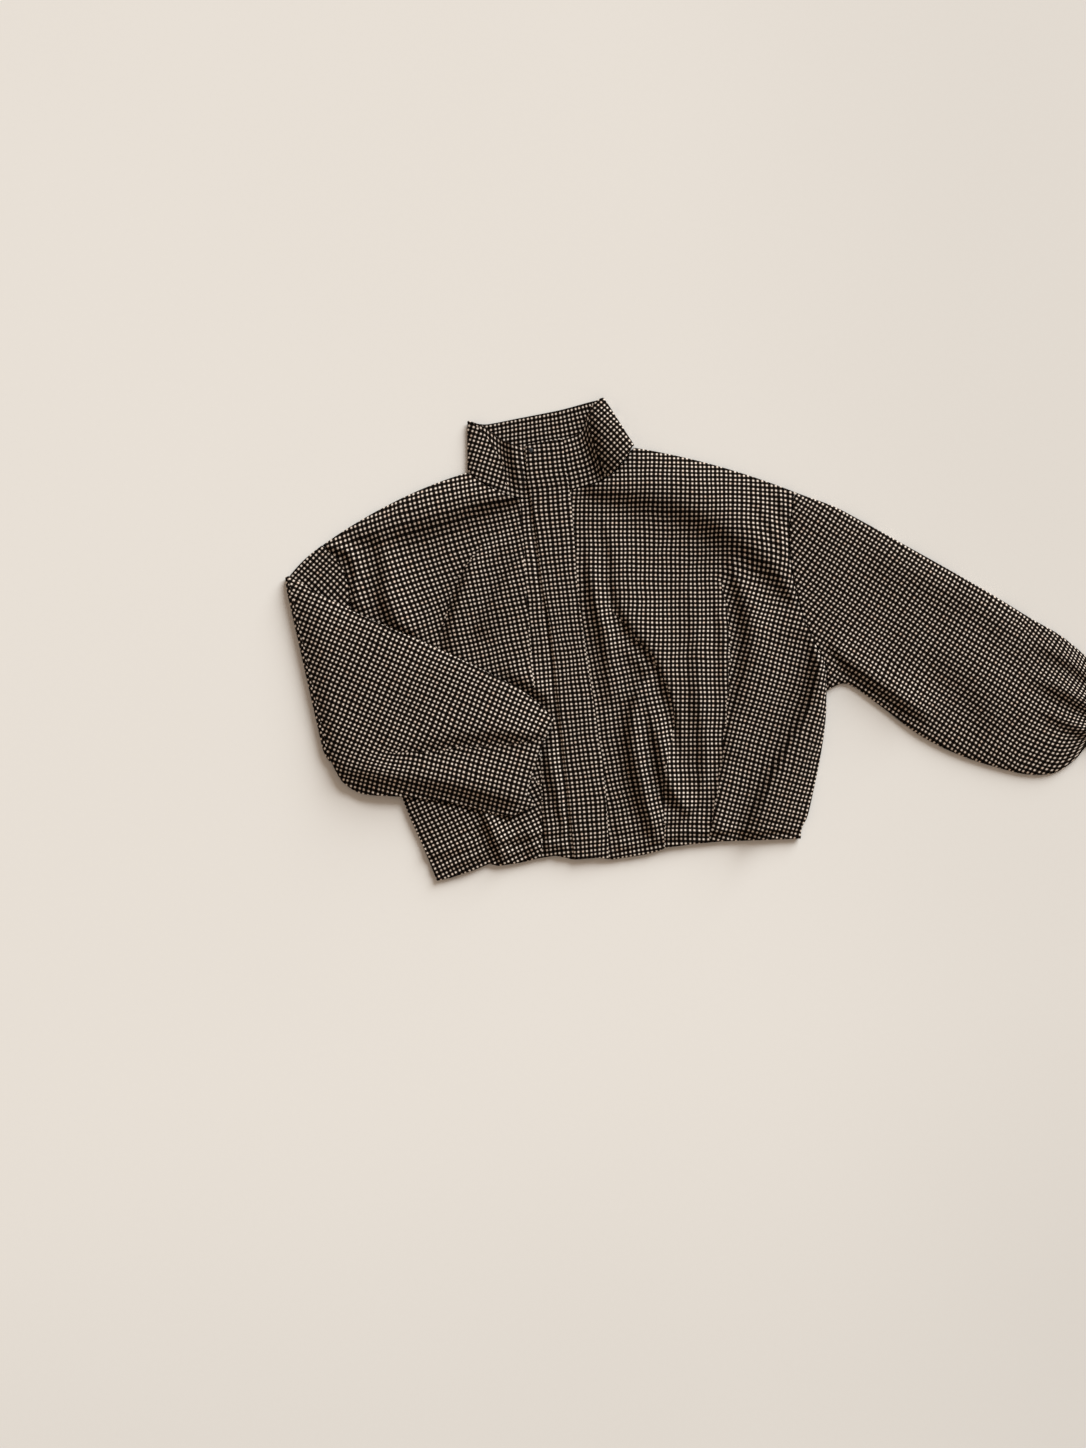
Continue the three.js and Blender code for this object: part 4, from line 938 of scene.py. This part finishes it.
def folded_sleeve():
    """Rows across the sleeve from the armhole, round the fold and on to its end. Each has the plans
    of four faces, then their heights: two of the outer layer, two of the one inside it."""
    share = near_edges(80, (230, 230))
    width = np.linalg.norm(FOLD_TOP - FOLD_LOW)
    rim = np.minimum(share, 1 - share) * width
    pinch = 1 - 0.25 * (1 - rise(rim, 24))
    line = FOLD_TOP + (FOLD_LOW - FOLD_TOP) * share[:, None]
    start = ARMHOLE_RIGHT.at(1 - share) - np.array((0.7, 0.0))
    at_top = bump(np.where(share < 0.5, rim, 60), 26)
    rows = []
    for u in near_edges(24, (60, 0))[:-1]:
        baggy = math.sin(math.pi * u) ** 0.8 * at_top
        plan = start + (line - start) * u + BAGGY * baggy[:, None]
        top = UNDER_THICK * pinch + 4.0 * math.sin(math.pi * (1 - u) / 2) * rise(rim, 30)
        rows.append((plan, plan, plan, plan, 0 * top, top / 2 - 0.1, top / 2 + 0.1, top))
    outward = np.array((FOLD_LOW[1] - FOLD_TOP[1], FOLD_TOP[0] - FOLD_LOW[0])) / width
    radii = [(FOLD_RADIUS - inwards) * pinch
             for inwards in (0, UNDER_THICK / 2 - 0.1, UNDER_THICK / 2 + 0.1, UNDER_THICK)]
    fold_end = 0.25 + 0.75 * round_edge((1 - share) * width, 17)
    for angle in np.linspace(-math.pi / 2, math.pi / 2, 21):
        plans = [line + outward * (r * math.cos(angle) * fold_end)[:, None] for r in radii]
        heights = [FOLD_RADIUS * pinch + r * math.sin(angle) for r in radii]
        rows.append((*plans, *heights))
    for u in near_edges(110, (0, OVER_LONG))[1:]:
        a, b = catmull(OVER, u).reshape(2, 2)
        wide = np.linalg.norm(b - a)
        plan = a + (b - a) * share[:, None]
        x, y = plan.T
        on_fold = 1 - ease(u / 0.16)
        to_end = (1 - u) * OVER_LONG
        swell = rise(np.minimum(np.minimum(share, 1 - share) * wide, to_end), 22)
        past = -226 + (y + 300) * 0.26 - x
        sag = 3.4 * ease(past / 45) * ease((-250 - y) / 50)
        underside = mix(OVER_UNDERSIDE - sag, (2 * FOLD_RADIUS - UNDER_THICK) * pinch, on_fold)
        relief = crease_height(x, y, OVER_CREASES) + soft_waves(x, y)
        full = FOLDED_PUFF * rise(np.hypot(*(plan - line).T), 60) * rise(to_end, 60)
        full = full * rise(share * wide, 90) * rise((1 - share) * wide, 34)
        body = OVER_RIM + (OVER_THICK - OVER_RIM) * swell + relief * swell + full
        thick = mix(body, UNDER_THICK * pinch + full, on_fold)
        lower = underside + np.minimum(thick * 0.46, 2.6)
        rows.append((plan, plan, plan, plan, underside + thick, lower + 0.2, lower, underside))
    return share, rows, width


# MID is the column in the middle of the sleeve's width
SHARE, ROWS, FOLD_WIDTH = folded_sleeve()
MID = 40
FIRST_OVER_ROW = next(k for k, row in enumerate(ROWS) if row[7][MID] > OVER_UNDERSIDE - 1 and k > 35)
OVER_GRAIN = 30.2
OVER_STRETCH = np.array((1.055, 1.02))
TO_CUFF = np.array((0.93, -0.36))

# The grain bends a little at the crease across the folded sleeve
BEND_ANGLE = -8.5
BEND_PIVOT = turned(*(np.array((-285.0, -282.0)) - FOLD_TOP), OVER_GRAIN)
BEND_X = (-300, -240, -205, -172, -140, -108, -80, -45)
BEND_Y = (-280, -286, -288, -291, -289, -292, -292, -291)


def bent(x, y, cx, cy, uv, z):
    """Cloth coordinates on the folded sleeve, swung about the pivot for what lies below the crease."""
    soft = ease((np.interp(x, BEND_X, BEND_Y) + 12 - y) / 46)
    sharp = cy < np.interp(cx, BEND_X, BEND_Y)
    share = mix(soft, sharp, ease((x + 235) / 50)) * (z > 8)
    moved = uv - BEND_PIVOT
    return (turned(moved[..., 0], moved[..., 1], BEND_ANGLE * share) + BEND_PIVOT) / OVER_STRETCH


def layer(name, first, low_step, rests):
    """One layer of the folded sleeve: the outer one (first 0) or the one inside it (first 2)."""
    n = len(ROWS)
    plans_a, plans_b, high, low = (np.array([row[k] for row in ROWS])
                                   for k in (first, first + 1, first + 4, first + 5))
    order = np.arange(n)[:, None]
    across = plans_a[:, -1] - plans_a[:, 0]
    across = across / np.linalg.norm(across, axis=-1, keepdims=True)
    at_low_edge = ease((order - FIRST_OVER_ROW - 8) / 16.0) * ease((SHARE - 0.86) / 0.14)
    if low_step > 0:
        longer = ease((order - (n - 16)) / 15.0)
        longer = longer * 19 * (bump(SHARE - 0.86, 0.09) - 0.5 * bump(SHARE - 0.3, 0.4))
        sunk = ease((order - (n - 12)) / 11.0) * 0.8
        high, low = high - sunk, low - sunk * 0.2
    else:
        longer = ease((order - (n - 18)) / 17.0) * 4.5 * bump(SHARE - 0.77, 0.15)
        high, low = high - at_low_edge * 1.2, low - at_low_edge * 0.5
    moved = across[:, None] * (at_low_edge * low_step)[..., None] + TO_CUFF * longer[..., None]
    plans_a, plans_b = plans_a + moved, plans_b + moved
    middle = (high + low) / 2
    steps = np.linalg.norm(np.diff(plans_a[:, MID], axis=0), axis=1) + 0.5 * np.abs(np.diff(high[:, MID]))
    steps = np.concatenate([[0], np.cumsum(steps)])
    from_end = np.minimum(steps, steps[-1] - steps)[:, None]
    half = (high - low) / 2 * round_edge(
        np.minimum(np.minimum(SHARE, 1 - SHARE) * FOLD_WIDTH, from_end), 1.6)
    outer = np.concatenate([plans_a, (middle + half)[..., None]], -1)
    inner = np.concatenate([plans_b, (middle - half - LEAST_WALL)[..., None]], -1)
    # Cloth coordinates: along the sleeve after the fold, mirrored in the fold before it
    place = plans_a - FOLD_TOP
    fold_way = (FOLD_LOW - FOLD_TOP) / FOLD_WIDTH
    mirrored = 2 * (place @ fold_way)[..., None] * fold_way - place
    place = np.where(order[..., None] >= FIRST_OVER_ROW - 10, place, mirrored)
    uv = turned(place[..., 0], place[..., 1], OVER_GRAIN)
    obj = wall(name, outer, inner, uv, uv_at=bent)
    return obj


cloth_sleeve_right = layer("cloth_sleeve_right", 0, -2.0, ["cloth_sleeve_right_under"])
cloth_sleeve_right_under = layer("cloth_sleeve_right_under", 2, 3.5, ["cloth_front_right"])

for piece, name in (
        (cloth_back, "back"), (cloth_front_left, "front_left"), (cloth_front_right, "front_right"),
        (cloth_placket, "placket"), (cloth_collar, "collar"), (cloth_sleeve_left, "sleeve_left"),
        (cloth_sleeve_right, "sleeve_right")):
    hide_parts(name)


# The stud keeps its CAD shape with a satin black finish

def stud_black():
    g = Graph("stud_black")
    grain_noise = g.noise(g.place(), 900.0, 3.0)
    black = g.mix_colour(grain_noise, (0.010, 0.010, 0.011, 1), (0.022, 0.021, 0.021, 1))
    g.link(black, g.bsdf.inputs["Base Color"])
    g.link(g.plus(0.30, g.times(grain_noise, 0.2)), g.bsdf.inputs["Roughness"])
    return g.material


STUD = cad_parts["top_stud"]
for slot in STUD.material_slots:
    slot.material = stud_black()


# Floor, its paper darkened towards the right and towards the front by painted shade

def floor_paper():
    g = Graph("floor_paper")
    place = g.place()
    wide = g.noise(place, 1.3, 2.0)
    fine = g.noise(place, 160.0, 3.0, 0.6)
    tone = g.plus(g.times(wide, 0.7), g.times(fine, 0.3))
    paper = g.mix_colour(tone, (0.753, 0.703, 0.648, 1), (0.793, 0.745, 0.693, 1))
    across, up, _ = g.split(place)
    # Painted shade: the paper's colour is darkened towards the right and towards the front, standing in for
    # the light falling off across the floor
    painted_shade_right = g.times(g.smooth(across, -0.1, 0.45), 0.055)
    painted_shade_front = g.times(g.smooth(g.times(up, -1.0), 0.45, 1.0), 0.065)
    g.colour(paper, g.minus(g.minus(1.0, painted_shade_right), painted_shade_front))
    g.matt(0.85, 0.2)
    return g.material


FLOOR_HALF = 12000.0
corners = FLOOR_HALF * np.array([(-1, -1, 0), (1, -1, 0), (1, 1, 0), (-1, 1, 0)], float)
floor = make_object("floor", corners, [(0, 1, 2, 3)], corners[:, :2], floor_paper())
floor.location.z = -0.0002

# Camera straight above, turned so that the jacket has the photo's tilt
centre = from_photo(PHOTO_PX[0] / 2, PHOTO_PX[1] / 2)
LENS, SENSOR = 50.0, 36.0
height = PHOTO_PX[1] * PIXEL_MM * LENS / SENSOR + 8
camera_data = bpy.data.cameras.new("camera")
camera_data.lens = LENS
camera_data.sensor_width = SENSOR
camera = bpy.data.objects.new("camera", camera_data)
camera.location = ((centre[0] + ORIGIN[0]) / 1000, (centre[1] + ORIGIN[1]) / 1000, height / 1000)
camera.rotation_euler = (0, 0, -TILT)
bpy.context.scene.collection.objects.link(camera)
bpy.context.scene.camera = camera


# Light: a wide soft source up and to the right, and an even room
LIGHT_UP = math.radians(27)
sun_data = bpy.data.lights.new("window", "SUN")
sun_data.energy = 4.94
sun_data.angle = math.radians(42)
sun_data.color = (0.88, 0.954, 1.0)
sun = bpy.data.objects.new("window", sun_data)
sun.rotation_euler = (0, math.pi / 2 - LIGHT_UP, LIGHT_TOWARDS)
sun.location = (1, 1, 1.5)
bpy.context.scene.collection.objects.link(sun)

world = bpy.data.worlds.new("room")
world.use_nodes = True
world.node_tree.nodes["Background"].inputs[0].default_value = (1.0, 0.83, 0.68, 1)
world.node_tree.nodes["Background"].inputs[1].default_value = 0.41
bpy.context.scene.world = world
bpy.context.scene.view_settings.view_transform = "Standard"
